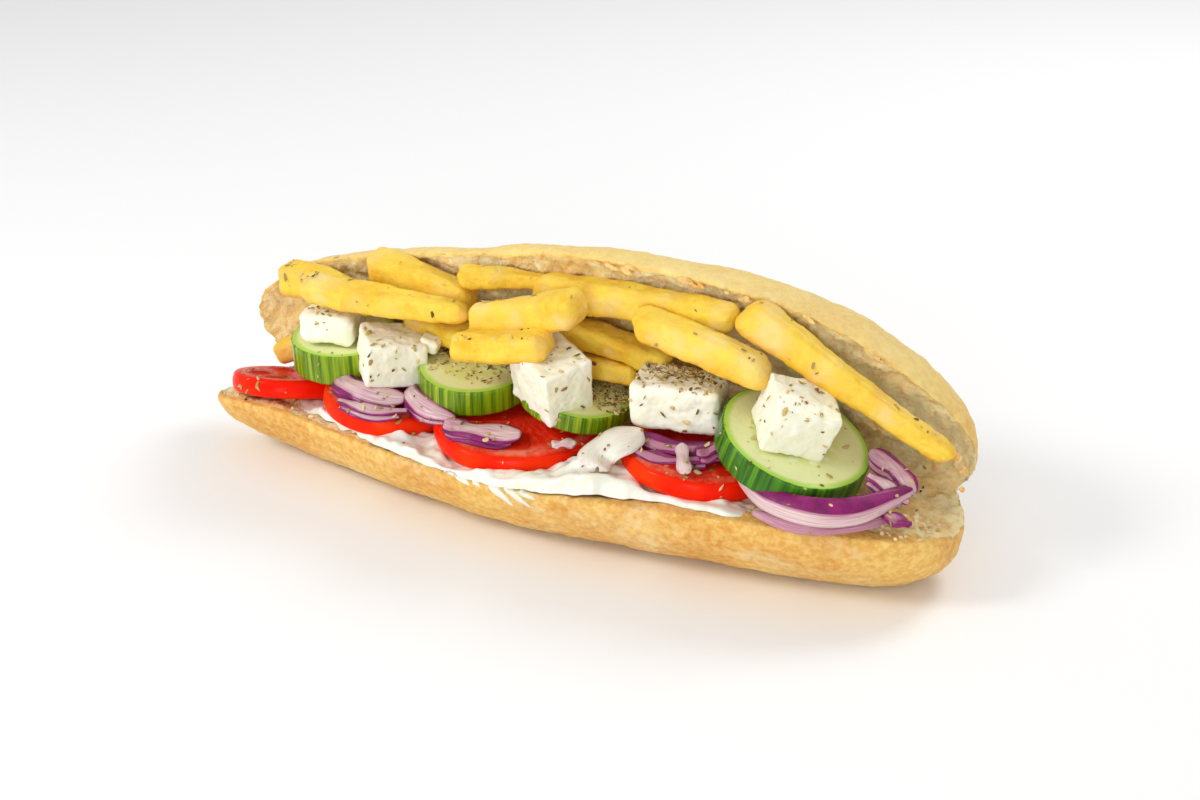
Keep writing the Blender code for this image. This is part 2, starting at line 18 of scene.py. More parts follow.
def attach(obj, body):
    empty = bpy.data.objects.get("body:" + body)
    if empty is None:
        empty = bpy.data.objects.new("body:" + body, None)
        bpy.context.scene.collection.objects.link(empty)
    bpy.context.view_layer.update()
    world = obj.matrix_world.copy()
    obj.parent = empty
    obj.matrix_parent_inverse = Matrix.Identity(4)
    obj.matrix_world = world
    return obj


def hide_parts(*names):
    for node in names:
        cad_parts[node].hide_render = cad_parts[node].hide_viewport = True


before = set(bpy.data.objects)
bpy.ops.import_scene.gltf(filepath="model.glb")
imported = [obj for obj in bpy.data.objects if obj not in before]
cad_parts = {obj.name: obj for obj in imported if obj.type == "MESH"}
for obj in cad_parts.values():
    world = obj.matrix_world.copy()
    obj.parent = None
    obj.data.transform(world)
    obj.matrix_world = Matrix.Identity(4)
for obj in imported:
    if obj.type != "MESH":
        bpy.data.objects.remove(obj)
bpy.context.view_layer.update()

MM = 0.001

# %% [markdown]
# ## Camera, floor and light
# The photograph looks down at the open side from the front right, about a step away.
# A 52.5 mm lens gives its mild perspective. The light is plain and soft: a pale room all
# round, one broad lamp high at the front left that draws the long shine on the tomato
# skins, a low one in front that lights the inside of the roll, and one behind.

# %% Camera
CAMERA_PLACE = Vector((0.2449, -0.4720, 0.2809))
CAMERA_BACK = Vector((0.3989, -0.8179, 0.4147)).normalized()

camera_data = bpy.data.cameras.new("photo_camera")
camera_data.lens = 52.5
camera_data.sensor_width = 36.0
camera = bpy.data.objects.new("photo_camera", camera_data)
bpy.context.scene.collection.objects.link(camera)
camera.rotation_euler = CAMERA_BACK.to_track_quat("Z", "Y").to_euler()
camera.location = CAMERA_PLACE
bpy.context.scene.camera = camera
# The photograph's colours are plain and bright, so no film curve greys them
bpy.context.scene.view_settings.view_transform = "Standard"
print("camera", [round(v, 3) for v in CAMERA_PLACE], "lens", camera_data.lens)


# %% Helpers for working by hand
def only(obj):
    bpy.ops.object.select_all(action="DESELECT")
    obj.select_set(True)
    bpy.context.view_layer.objects.active = obj


def modify(obj, kind, **values):
    # Adds a modifier, sets it and applies it at once
    mod = obj.modifiers.new(kind.lower(), kind)
    for key, value in values.items():
        setattr(mod, key, value)
    only(obj)
    bpy.ops.object.modifier_apply(modifier=mod.name)


def select_faces(obj, test):
    # In edit mode: selects the faces that pass the test
    mesh = bmesh.from_edit_mesh(obj.data)
    for face in mesh.faces:
        face.select_set(bool(test(face)))
    bmesh.update_edit_mesh(obj.data)


def select_edges(obj, test):
    mesh = bmesh.from_edit_mesh(obj.data)
    for face in mesh.faces:
        face.select_set(False)
    for edge in mesh.edges:
        edge.select_set(bool(test(edge)))
    bmesh.update_edit_mesh(obj.data)


def move_points(obj, rule):
    # Moves each point to where the rule puts it, as a sculptor would
    for vertex in obj.data.vertices:
        vertex.co = rule(vertex.co.copy())
    obj.data.update()


def keep_local(obj, name="local"):
    # Remembers where each point was before the piece is laid in place, in mm
    store = obj.data.attributes.new(name, "FLOAT_VECTOR", "POINT")
    for vertex in obj.data.vertices:
        store.data[vertex.index].vector = vertex.co / MM


def triangles(obj):
    return sum(len(p.vertices) - 2 for p in obj.data.polygons)


# %% Floor and lamps
bpy.ops.object.select_all(action="DESELECT")
bpy.ops.mesh.primitive_plane_add(size=4.0, location=(0, 0, -0.0002))
floor = bpy.context.object
floor.name = "floor"
floor_paint = bpy.data.materials.new("pale_floor")
floor_paint.use_nodes = True
floor_paint.node_tree.nodes["Principled BSDF"].inputs["Base Color"].default_value = (0.95, 0.95, 0.95, 1)
floor_paint.node_tree.nodes["Principled BSDF"].inputs["Roughness"].default_value = 0.9
floor.data.materials.append(floor_paint)

room = bpy.data.worlds.new("pale_room")
bpy.context.scene.world = room
room.use_nodes = True
room.node_tree.nodes["Background"].inputs["Color"].default_value = (1.0, 1.0, 1.0, 1)
room.node_tree.nodes["Background"].inputs["Strength"].default_value = 0.60


def soft_lamp(name, place, target, size, power):
    lamp_data = bpy.data.lights.new(name, "AREA")
    lamp_data.shape = "DISK"
    lamp_data.size = size
    lamp_data.energy = power
    lamp = bpy.data.objects.new(name, lamp_data)
    bpy.context.scene.collection.objects.link(lamp)
    lamp.location = place
    lamp.rotation_euler = (Vector(place) - Vector(target)).to_track_quat("Z", "Y").to_euler()
    return lamp


soft_lamp("key_lamp", (-0.72, -0.72, 0.80), (0, 0, 0.03), 0.36, 5.9)
soft_lamp("front_lamp", (0.20, -1.05, 0.24), (0.03, 0, 0.05), 0.5, 3.1)
soft_lamp("back_lamp", (0.35, 0.75, 0.9), (0, 0, 0.03), 0.5, 4.5)
print("floor and lamps are in")

# %% [markdown]
# ## Shader helpers
# Food is never one flat colour. Three effects come back in nearly every material, so
# each is a node group that is built once: a patchy mix of two colours, small spots, and
# a fine grain for the bump. The groups only put out colours, masks and heights.


# %% Node helpers
def add_node(tree, kind, inputs=None, **settings):
    made = tree.nodes.new(kind)
    for key, value in settings.items():
        setattr(made, key, value)
    for key, value in (inputs or {}).items():
        socket = made.inputs[key]
        if isinstance(value, bpy.types.NodeSocket):
            tree.links.new(value, socket)
        elif isinstance(value, tuple) and len(value) == 3 and socket.type == "RGBA":
            socket.default_value = (*value, 1.0)
        else:
            socket.default_value = value
    return made


def new_group(name, inputs, outputs):
    group = bpy.data.node_groups.new(name, "ShaderNodeTree")
    for label, kind in inputs:
        group.interface.new_socket(name=label, in_out="INPUT", socket_type=kind)
    for label, kind in outputs:
        group.interface.new_socket(name=label, in_out="OUTPUT", socket_type=kind)
    return group, group.nodes.new("NodeGroupInput").outputs, group.nodes.new("NodeGroupOutput").inputs


def maths(tree, operation, a, b=0.0, c=0.0):
    return add_node(tree, "ShaderNodeMath", {0: a, 1: b, 2: c}, operation=operation).outputs[0]


def ramp(tree, value, low, high, to_low=0.0, to_high=1.0):
    return add_node(tree, "ShaderNodeMapRange", {
        "Value": value, "From Min": low, "From Max": high, "To Min": to_low, "To Max": to_high,
    }, interpolation_type="SMOOTHSTEP").outputs[0]


def blend_colour(tree, factor, first, second):
    made = add_node(tree, "ShaderNodeMix", data_type="RGBA")
    for key, value in ((0, factor), (6, first), (7, second)):
        if isinstance(value, bpy.types.NodeSocket):
            tree.links.new(value, made.inputs[key])
        elif key:
            made.inputs[key].default_value = (*value, 1.0)
        else:
            made.inputs[key].default_value = value
    return made.outputs[2]


# %% Patchy colour, spots and grain
patchy, given, result = new_group(
    "patchy_colour",
    (("Vector", "NodeSocketVector"), ("Scale", "NodeSocketFloat"), ("Low", "NodeSocketFloat"),
     ("High", "NodeSocketFloat"), ("First", "NodeSocketColor"), ("Second", "NodeSocketColor")),
    (("Colour", "NodeSocketColor"), ("Mask", "NodeSocketFloat")),
)
cloud = add_node(patchy, "ShaderNodeTexNoise", {
    "Vector": given["Vector"], "Scale": given["Scale"], "Detail": 4.0, "Roughness": 0.62})
mask = ramp(patchy, cloud.outputs[0], given["Low"], given["High"])
patchy.links.new(blend_colour(patchy, mask, given["First"], given["Second"]), result["Colour"])
patchy.links.new(mask, result["Mask"])

spots, given, result = new_group(
    "small_spots",
    (("Vector", "NodeSocketVector"), ("Scale", "NodeSocketFloat"), ("Size", "NodeSocketFloat")),
    (("Mask", "NodeSocketFloat"),),
)
wander = add_node(spots, "ShaderNodeTexNoise", {
    "Vector": given["Vector"], "Scale": given["Scale"], "Detail": 2.0})
shift = add_node(spots, "ShaderNodeVectorMath", {0: wander.outputs[1]}, operation="SCALE")
shift.inputs["Scale"].default_value = 0.004
moved = add_node(spots, "ShaderNodeVectorMath", {0: given["Vector"], 1: shift.outputs[0]}, operation="ADD")
cells = add_node(spots, "ShaderNodeTexVoronoi", {"Vector": moved.outputs[0], "Scale": given["Scale"]})
edge = maths(spots, "MULTIPLY", given["Size"], 0.55)
spots.links.new(ramp(spots, cells.outputs["Distance"], given["Size"], edge), result["Mask"])

grain, given, result = new_group(
    "fine_grain",
    (("Vector", "NodeSocketVector"), ("Scale", "NodeSocketFloat")),
    (("Height", "NodeSocketFloat"),),
)
rough = add_node(grain, "ShaderNodeTexNoise", {
    "Vector": given["Vector"], "Scale": given["Scale"], "Detail": 5.0, "Roughness": 0.7})
pits = add_node(grain, "ShaderNodeTexVoronoi", {"Vector": given["Vector"], "Scale": given["Scale"]})
height = maths(grain, "MULTIPLY_ADD", pits.outputs["Distance"], 0.35, rough.outputs[0])
grain.links.new(height, result["Height"])
print("node groups:", [g.name for g in bpy.data.node_groups])


# %% Start of every food material
def food_material(name, **constants):
    # A Principled material whose plain numbers sit on the shader's own sockets
    made = bpy.data.materials.new(name)
    made.use_nodes = True
    tree = made.node_tree
    shader = tree.nodes["Principled BSDF"]
    for key, value in constants.items():
        shader.inputs[key.replace("_", " ")].default_value = value
    place = tree.nodes.new("ShaderNodeTexCoord").outputs["Object"]
    return made, tree, shader, place


def use_group(tree, group, **inputs):
    made = tree.nodes.new("ShaderNodeGroup")
    made.node_tree = group
    for key, value in inputs.items():
        if isinstance(value, bpy.types.NodeSocket):
            tree.links.new(value, made.inputs[key])
        elif isinstance(value, tuple):
            made.inputs[key].default_value = (*value, 1.0)
        else:
            made.inputs[key].default_value = value
    return made.outputs


def mottled(tree, spot, scale, low, high, first, second):
    # Two colours in patches; the noise between low and high turns the first into the second
    return use_group(tree, patchy, Vector=spot, Scale=scale, Low=low, High=high,
                     First=first, Second=second)["Colour"]


def patch_mask(tree, spot, scale, low, high):
    return use_group(tree, patchy, Vector=spot, Scale=scale, Low=low, High=high)["Mask"]


def bump(tree, shader, height, distance, strength=1.0):
    made = add_node(tree, "ShaderNodeBump", {"Height": height, "Distance": distance, "Strength": strength})
    tree.links.new(made.outputs[0], shader.inputs["Normal"])


def read_attribute(tree, name, output="Fac"):
    made = tree.nodes.new("ShaderNodeAttribute")
    made.attribute_name = name
    return made.outputs[output]


finished = []


def finish_piece(obj, name, slot, material, *nodes):
    finished.append(obj)
    obj.name = name
    obj.data.name = name
    obj.data.materials.clear()
    obj.data.materials.append(material)
    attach(obj, "root")
    if nodes:
        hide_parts(*nodes)
    only(obj)
    bpy.ops.object.shade_smooth()


# %% [markdown]
# ## The roll
# A long roll is a lens of crumb in a thin golden crust. It could be sculpted from a
# ball, but its outline is known at fifteen stations along its length, so a flat grid is
# rolled round those outlines instead: the first part of the grid becomes the cut face
# and the rest the crust. Two halves are made this way, welded at the hinge by a voxel
# remesh, and given torn crumb and a blistered crust by displacement.

# %% Outline of the roll
ROLL_CUT_HEIGHT = 25.0
HINGE_Y = 22.0
HINGE_Z = 22.5
OPEN_ANGLE = math.radians(75.0)
# One row a station in mm: x, hinge edge, cut rim, depth, lift of the cut face
LOWER_OUTLINE = (
    (-136.0, 25.0, 29.0, 2.0, -6.5),
    (-133.0, 18.0, 35.0, 9.0, -4.5),
    (-126.0, 13.0, 41.5, 16.0, -1.5),
    (-114.0, 8.0, 44.5, 22.0, 0.5),
    (-92.0, 0.0, 47.5, 27.5, 1.0),
    (-66.0, -3.0, 53.0, 28.0, 0.5),
    (-38.0, -3.5, 58.5, 28.0, 0.0),
    (-4.0, -4.0, 62.5, 28.5, 0.5),
    (30.0, -4.0, 61.0, 30.0, 2.0),
    (64.0, -4.0, 58.5, 32.0, 4.0),
    (96.0, -3.5, 55.0, 32.0, 4.5),
    (116.0, -2.0, 49.0, 29.5, 3.5),
    (129.0, 1.0, 42.0, 22.5, 1.5),
    (135.0, 8.0, 34.0, 14.0, -1.5),
    (137.5, 17.0, 24.0, 3.0, -6.0),
)
UPPER_OUTLINE = (
    (-136.0, 12.0, 17.0, 2.0, 0.0),
    (-133.5, 7.0, 24.0, 8.0, 0.0),
    (-128.0, 5.0, 31.0, 12.0, 0.0),
    (-115.0, 5.0, 40.5, 16.0, 0.0),
    (-94.0, -1.0, 49.0, 19.0, 0.0),
    (-62.0, -5.0, 57.0, 21.0, 0.0),
    (-34.0, -5.0, 62.0, 23.0, 0.0),
    (-4.0, -5.0, 67.5, 25.5, 0.0),
    (30.0, -5.0, 67.5, 29.0, 0.0),
    (64.0, -5.0, 64.0, 32.0, 0.0),
    (90.0, -5.0, 56.5, 31.0, 0.0),
    (110.0, -4.0, 46.0, 27.0, 0.0),
    (125.0, -1.0, 34.0, 21.0, 0.0),
    (132.5, 4.0, 26.0, 13.0, 0.0),
    (136.0, 12.0, 18.0, 3.0, 0.0),
)


def smooth_row(rows, position):
    # Catmull-Rom value of a table whose first column is the position
    k = 0
    while k < len(rows) - 2 and rows[k + 1][0] < position:
        k += 1
    before, start, end, after = rows[max(k - 1, 0)], rows[k], rows[k + 1], rows[min(k + 2, len(rows) - 1)]
    span = end[0] - start[0]
    t = (position - start[0]) / span
    values = []
    for a, b, c, d in zip(before[1:], start[1:], end[1:], after[1:]):
        m0 = (c - a) / (end[0] - before[0]) * span
        m1 = (d - b) / (after[0] - start[0]) * span
        value = (2 * t**3 - 3 * t**2 + 1) * b + (t**3 - 2 * t**2 + t) * m0
        values.append(value + (-2 * t**3 + 3 * t**2) * c + (t**3 - t**2) * m1)
    return values


def lower_place(x, across, out, lift):
    return Vector((x, HINGE_Y - across, max(0.0, ROLL_CUT_HEIGHT + lift - out))) * MM


def upper_place(x, across, out, lift):
    y = HINGE_Y - across * math.cos(OPEN_ANGLE) + out * math.sin(OPEN_ANGLE)
    z = HINGE_Z + across * math.sin(OPEN_ANGLE) + out * math.cos(OPEN_ANGLE)
    return Vector((x, y, z)) * MM


# %% Roll the grid round the outline
CUT_SHARE = 0.40
RIM_DROP = 1.4


def roll_half(name, rows, dish, bows, place):
    bpy.ops.object.select_all(action="DESELECT")
    bpy.ops.mesh.primitive_grid_add(x_subdivisions=220, y_subdivisions=120, size=1.0, location=(0, 0, 0))
    half = bpy.context.object
    half.name = name
    outlines = {}
    for vertex in half.data.vertices:
        s = vertex.co.x + 0.5
        t = vertex.co.y + 0.5
        key = round(s * 100000)
        if key not in outlines:
            along = 0.55 * (0.5 - 0.5 * math.cos(math.pi * s)) + 0.45 * s
            x = rows[0][0] + (rows[-1][0] - rows[0][0]) * along
            outlines[key] = (x, *smooth_row(rows, x))
        x, near, far, depth, lift = outlines[key]
        lip = RIM_DROP * min(1.0, depth / 20)
        if t <= CUT_SHARE:
            u = t / CUT_SHARE
            hollow = dish * math.sin(math.pi * u) ** 0.6 * min(1.0, depth / 20)
            hollow = max(hollow, 0.0) + lip * max(0.0, (u - 0.88) / 0.12) ** 2
            vertex.co = place(x, near + (far - near) * u, hollow, lift)
        else:
            a = math.pi * (t - CUT_SHARE) / (1 - CUT_SHARE)
            bow = bows[0] if math.cos(a) > 0 else bows[1]
            across = (near + far) / 2 + (far - near) / 2 * math.copysign(abs(math.cos(a)) ** bow, math.cos(a))
            out = depth * max(0.0, math.sin(a)) ** 0.95
            if a < 0.5:
                out = max(out, lip)
            vertex.co = place(x, across, out, lift)
    only(half)
    bpy.ops.object.mode_set(mode="EDIT")
    bpy.ops.mesh.select_all(action="SELECT")
    bpy.ops.mesh.remove_doubles(threshold=0.00001)
    bpy.ops.mesh.select_all(action="DESELECT")
    bpy.ops.mesh.select_non_manifold()
    bpy.ops.mesh.fill_holes(sides=0)
    bpy.ops.mesh.select_all(action="SELECT")
    bpy.ops.mesh.normals_make_consistent(inside=False)
    bpy.ops.object.mode_set(mode="OBJECT")
    return half


lower_half = roll_half("lower_half", LOWER_OUTLINE, 2.5, (1.45, 0.42), lower_place)
upper_half = roll_half("upper_half", UPPER_OUTLINE, 5.0, (0.95, 0.9), upper_place)
print("halves:", triangles(lower_half), triangles(upper_half), "triangles")


# %% Where a point of the roll is crumb
def crust_lip(x):
    # How far the crust rolls over the front rim of the lower half, in mm
    return 2.0 + 6.0 * max(0.0, min(1.0, (x + 5) / 45)) - 2.0 * max(0.0, min(1.0, (x - 85) / 30))


def crumb_share(point):
    # 1 on the cut faces, 0 on the crust, by how far the point is inside the rim
    x = max(-135.5, min(135.5, point.x / MM))
    y = point.y / MM
    z = point.z / MM
    near, far, depth, lift = smooth_row(UPPER_OUTLINE, x)
    across = (HINGE_Y - y) * math.cos(OPEN_ANGLE) + (z - HINGE_Z) * math.sin(OPEN_ANGLE)
    out = (y - HINGE_Y) * math.sin(OPEN_ANGLE) + (z - HINGE_Z) * math.cos(OPEN_ANGLE)
    u = (across - near) / max(1.0, far - near)
    if u > -0.2 and z > HINGE_Z - 3 and -4 < out:
        hollow = 5.0 * math.sin(math.pi * min(1.0, max(0.0, u))) ** 0.6 * min(1.0, depth / 20)
        if out < hollow + 1.6:
            return max(0.0, min(1.0, (far - 1.6 - across) / 1.0, (hollow + 1.6 - out) / 0.8))
    near, far, depth, lift = smooth_row(LOWER_OUTLINE, x)
    across = HINGE_Y - y
    out = ROLL_CUT_HEIGHT + lift - z
    u = (across - near) / max(1.0, far - near)
    if u > -0.2 and z > 8 and -4 < out:
        hollow = 2.5 * math.sin(math.pi * min(1.0, max(0.0, u))) ** 0.6 * min(1.0, depth / 20)
        if out < hollow + 1.4:
            return max(0.0, min(1.0, (far - crust_lip(x) - across) / 1.2, (hollow + 1.4 - out) / 0.8))
    return 0.0


# %% Weld the halves and give them relief
only(lower_half)
upper_half.select_set(True)
bpy.ops.object.join()
bread = lower_half
modify(bread, "REMESH", mode="VOXEL", voxel_size=0.00105)
modify(bread, "SMOOTH", factor=0.5, iterations=3)

shares = [crumb_share(vertex.co) for vertex in bread.data.vertices]
crumb_group = bread.vertex_groups.new(name="crumb")
crust_group = bread.vertex_groups.new(name="crust")
for vertex, share in zip(bread.data.vertices, shares):
    crumb_group.add([vertex.index], share, "REPLACE")
    above = min(1.0, vertex.co.z / MM / 3.0)
    crust_group.add([vertex.index], (1.0 - share) * above, "REPLACE")


def cloud_texture(name, size, depth=2, kind="CLOUDS"):
    texture = bpy.data.textures.new(name, kind)
    texture.noise_scale = size
    if kind == "CLOUDS":
        texture.noise_depth = depth
    return texture


crumb_lumps = cloud_texture("crumb_lumps", 0.010, 3)
crumb_pores = cloud_texture("crumb_pores", 0.0032, 3)
crust_swells = cloud_texture("crust_swells", 0.022, 2)
crust_blisters = cloud_texture("crust_blisters", 0.0045, 3)
modify(bread, "DISPLACE", texture=crumb_lumps, strength=0.0048, mid_level=0.52, vertex_group="crumb")
modify(bread, "DISPLACE", texture=crumb_pores, strength=0.0036, mid_level=0.55, vertex_group="crumb")
modify(bread, "DISPLACE", texture=crust_swells, strength=0.0022, mid_level=0.5, vertex_group="crust")
modify(bread, "DISPLACE", texture=crust_blisters, strength=0.0010, mid_level=0.5, vertex_group="crust")

bread.vertex_groups.clear()
crumb_store = bread.data.attributes.new("crumb_mask", "FLOAT", "POINT")
for vertex, share in zip(bread.data.vertices, shares):
    vertex.co.z = max(vertex.co.z, 0.0)
    crumb_store.data[vertex.index].value = share
print("bread:", triangles(bread), "triangles")

# %% Crust and crumb material
bread_paint, tree, shader, place = food_material(
    "bread_crust", Specular_IOR_Level=0.15, Subsurface_Weight=0.25, Subsurface_Scale=0.004)
shader.inputs["Subsurface Radius"].default_value = (1.0, 0.6, 0.3)
crumb_mask = read_attribute(tree, "crumb_mask")
ragged = add_node(tree, "ShaderNodeTexNoise", {"Vector": place, "Scale": 700.0, "Detail": 3.0}).outputs[0]
crumb_mask = maths(tree, "MULTIPLY_ADD", maths(tree, "SUBTRACT", ragged, 0.5), 0.7, crumb_mask)
crumb_mask = ramp(tree, crumb_mask, 0.38, 0.62)
golden = mottled(tree, place, 44.0, 0.38, 0.64,
                 (0.90, 0.56, 0.14), (0.76, 0.345, 0.055))
freckles = use_group(tree, patchy, Vector=place, Scale=430.0, Low=0.36, High=0.66,
                     First=(0.96, 0.72, 0.28), Second=(0.64, 0.28, 0.04))
crust_colour = blend_colour(tree, 0.38, golden, freckles["Colour"])
flour = patch_mask(tree, place, 30.0, 0.50, 0.72)
dust = patch_mask(tree, place, 240.0, 0.42, 0.64)
flour = maths(tree, "MULTIPLY", flour, ramp(tree, dust, 0.0, 1.0, 0.35, 0.75))
crust_colour = blend_colour(tree, flour, crust_colour, (0.94, 0.75, 0.40))
creamy = mottled(tree, place, 70.0, 0.35, 0.7,
                 (1.0, 0.85, 0.50), (0.99, 0.67, 0.25))
# The crumb is painted darker orange-brown in small spots: painted shade standing in for the shade inside its
# pores
pore_shade = patch_mask(tree, place, 300.0, 0.50, 0.72)
creamy = blend_colour(tree, maths(tree, "MULTIPLY", pore_shade, 0.6), creamy, (0.84, 0.43, 0.10))
white_lumps = patch_mask(tree, place, 190.0, 0.56, 0.70)
creamy = blend_colour(tree, maths(tree, "MULTIPLY", white_lumps, 0.5), creamy, (0.98, 0.88, 0.64))
# Higher up, on the upper half, the crust is painted paler and yellower than on the lower half: painted light
# standing in for the light that falls on the top of the roll
painted_top_light = ramp(tree, add_node(tree, "ShaderNodeSeparateXYZ", {0: place}).outputs[2], 0.040, 0.066)
crust_colour = blend_colour(tree, maths(tree, "MULTIPLY", painted_top_light, 0.6), crust_colour, (0.98, 0.79, 0.31))
bread_colour = blend_colour(tree, crumb_mask, crust_colour, creamy)
tree.links.new(bread_colour, shader.inputs["Base Color"])
tree.links.new(ramp(tree, crumb_mask, 0.0, 1.0, 0.52, 0.92), shader.inputs["Roughness"])
fine = use_group(tree, grain, Vector=place, Scale=520.0)["Height"]
deep = maths(tree, "MULTIPLY", fine, ramp(tree, crumb_mask, 0.0, 1.0, 0.75, 1.6))
bump(tree, shader, deep, 0.0012, 0.85)
finish_piece(bread, "bread_roll", "bread_crust", bread_paint, "bread")

# %% [markdown]
# ## Round slices
# A slice is a short cylinder. Its faces are inset ring by ring, so that there are points
# to raise and sink, and its rim is bevelled. Tomato gets sunken seed
# chambers between fleshy walls, cucumber a slightly raised seed core. Each point keeps
# its place on the untilted slice, and the materials draw skin, flesh and seeds from it.


# %% Slice blank
def slice_blank(name, radius, thick, sides=180, rings=14):
    bpy.ops.object.select_all(action="DESELECT")
    bpy.ops.mesh.primitive_cylinder_add(
        vertices=sides, radius=radius * MM, depth=thick * MM, location=(0, 0, 0))
    blank = bpy.context.object
    blank.name = name
    bpy.ops.object.mode_set(mode="EDIT")
    bpy.ops.mesh.select_mode(type="EDGE")
    select_edges(blank, lambda e: abs(e.verts[0].co.z - e.verts[1].co.z) > 0.5 * thick * MM)
    bpy.ops.mesh.subdivide(number_cuts=5)
    select_edges(blank, lambda e: abs(e.verts[0].co.z - e.verts[1].co.z) < 0.01 * MM
                 and abs(e.verts[0].co.z) > 0.49 * thick * MM)
    bpy.ops.mesh.bevel(offset=0.7 * MM, segments=3, affect="EDGES")
    bpy.ops.mesh.select_mode(type="FACE")
    for side in (1, -1):
        select_faces(blank, lambda f: f.normal.z * side > 0.999)
        for _ in range(rings):
            bpy.ops.mesh.inset(thickness=(radius - 1.0) * MM / (rings + 0.6))
    bpy.ops.object.mode_set(mode="OBJECT")
    return blank


def lay_slice(obj, centre, turn, warp, radius):
    # Out-of-round wobble and warp, then tilt and place, as in the CAD solid
    def rule(p):
        a = math.atan2(p.y, p.x)
        wobble = 1 + 0.012 * math.sin(2 * a + centre[0]) + 0.006 * math.sin(5 * a + centre[1])
        reach = math.hypot(p.x, p.y) / (radius * MM)
        lift = warp * MM * math.cos(2 * a + 0.6) * reach
        return Vector((p.x * wobble, p.y * wobble, p.z + lift))

    move_points(obj, rule)
    angles = [math.radians(v) for v in turn]
    obj.data.transform(Matrix.Translation(Vector(centre) * MM) @ Euler(angles).to_matrix().to_4x4())


# %% Tomato slices
TOMATO_SLICES = (
    ("tomato_1", (-106.5, -3.5, 25.6), 20.5, 6.3, (-18.0, 0.0, 10.0), 0.4, 5),
    ("tomato_2", (-62.0, -5.5, 29.5), 24.0, 6.5, (3.0, 2.0, 60.0), 0.3, 6),
    ("tomato_3", (-11.5, -6.0, 29.5), 29.0, 6.5, (3.0, 1.5, 20.0), 0.5, 7),
    ("tomato_4", (54.0, -5.0, 32.5), 26.0, 6.5, (3.0, -1.0, 80.0), 0.4, 6),
)


def chamber(a, r, count, seed):
    # How far a point is inside a seed chamber: 0 in the walls, 1 in the middle
    around = 0.5 + 0.5 * math.cos(count * a + 0.9 * math.sin(a + seed) + seed)
    ring = max(0.0, 1 - abs(r - 0.60) / 0.26)
    return max(0.0, min(1.0, (around - 0.28) * 2.2)) * min(1.0, ring * 1.8)


tomato_pieces = []
for name, centre, radius, thick, turn, warp, count in TOMATO_SLICES:
    piece = slice_blank(name, radius, thick, rings=22)
    keep_local(piece)
    gel = piece.data.attributes.new("gel", "FLOAT", "POINT")
    for vertex in piece.data.vertices:
        p = vertex.co
        r = math.hypot(p.x, p.y) / (radius * MM)
        bulge = 1 - (p.z / (thick * MM / 2)) ** 2
        if r > 0.96:
            # The skin bulges a little between the two cut faces
            p.x *= 1 + 0.035 * bulge - 0.015
            p.y *= 1 + 0.035 * bulge - 0.015
        if r < 0.96:
            inside = chamber(math.atan2(p.y, p.x), r, count, radius)
            gel.data[vertex.index].value = inside
            crown = 0.3 * math.exp(-((r - 0.86) / 0.06) ** 2)
            p.z += math.copysign((crown - 0.8 * inside) * MM, p.z)
    lay_slice(piece, centre, turn, warp, radius)
    tomato_pieces.append((name, piece, radius))
print("tomato slices:", [triangles(piece) for _, piece, _ in tomato_pieces])


# %% Tomato material
def local_parts(tree):
    # Distance from the slice's middle in mm, angle and height, from the stored place
    spot = read_attribute(tree, "local", "Vector")
    split = add_node(tree, "ShaderNodeSeparateXYZ", {0: spot}).outputs
    flat = add_node(tree, "ShaderNodeCombineXYZ", {0: split[0], 1: split[1]}).outputs[0]
    radius = add_node(tree, "ShaderNodeVectorMath", {0: flat}, operation="LENGTH").outputs["Value"]
    angle = maths(tree, "ARCTAN2", split[1], split[0])
    return spot, radius, angle, split[2]


def tomato_material(radius):
    made, tree, shader, place = food_material(
        f"tomato_{radius:.0f}", Roughness=0.32, Specular_IOR_Level=0.04, Coat_Weight=0.09,
        Coat_Roughness=0.03, Subsurface_Weight=0.08, Subsurface_Scale=0.004)
    shader.inputs["Subsurface Radius"].default_value = (1.0, 0.25, 0.12)
    spot, reach, angle, height = local_parts(tree)
    skin = ramp(tree, reach, radius - 1.1, radius - 0.5)
    skin_colour = mottled(tree, place, 40.0, 0.35, 0.7,
                          (0.90, 0.010, 0.0008), (0.94, 0.042, 0.001))
    fibre_spot = add_node(tree, "ShaderNodeCombineXYZ", {
        0: maths(tree, "MULTIPLY", reach, 0.09), 1: maths(tree, "MULTIPLY", angle, 3.0)}).outputs[0]
    fibres = add_node(tree, "ShaderNodeTexNoise", {
        "Vector": fibre_spot, "Scale": 3.0, "Detail": 4.0}).outputs[0]
    flesh = blend_colour(tree, ramp(tree, fibres, 0.40, 0.70), (0.82, 0.018, 0.004), (0.88, 0.07, 0.028))
    blush = patch_mask(tree, spot, 0.14, 0.34, 0.64)
    ring = maths(tree, "MULTIPLY", ramp(tree, reach, radius * 0.66, radius * 0.84),
                 ramp(tree, reach, radius * 0.97, radius * 0.88))
    flesh = blend_colour(tree, maths(tree, "MULTIPLY", blush, maths(tree, "MULTIPLY", ring, 0.75)),
                         flesh, (0.93, 0.27, 0.15))
    gel_mask = ramp(tree, read_attribute(tree, "gel"), 0.15, 0.6)
    seeds = use_group(tree, spots, Vector=place, Scale=230.0, Size=0.26)["Mask"]
    jelly = blend_colour(tree, maths(tree, "MULTIPLY", seeds, 0.7), (0.58, 0.016, 0.003), (0.88, 0.48, 0.14))
    flesh = blend_colour(tree, gel_mask, flesh, jelly)
    tree.links.new(blend_colour(tree, skin, flesh, skin_colour), shader.inputs["Base Color"])
    wet = use_group(tree, grain, Vector=place, Scale=420.0)["Height"]
    bump(tree, shader, maths(tree, "MULTIPLY", wet, ramp(tree, skin, 0.0, 1.0, 1.0, 0.05)), 0.0005, 0.7)
    return made


for name, piece, radius in tomato_pieces:
    finish_piece(piece, f"{name}_slice", "tomato_flesh", tomato_material(radius), name)

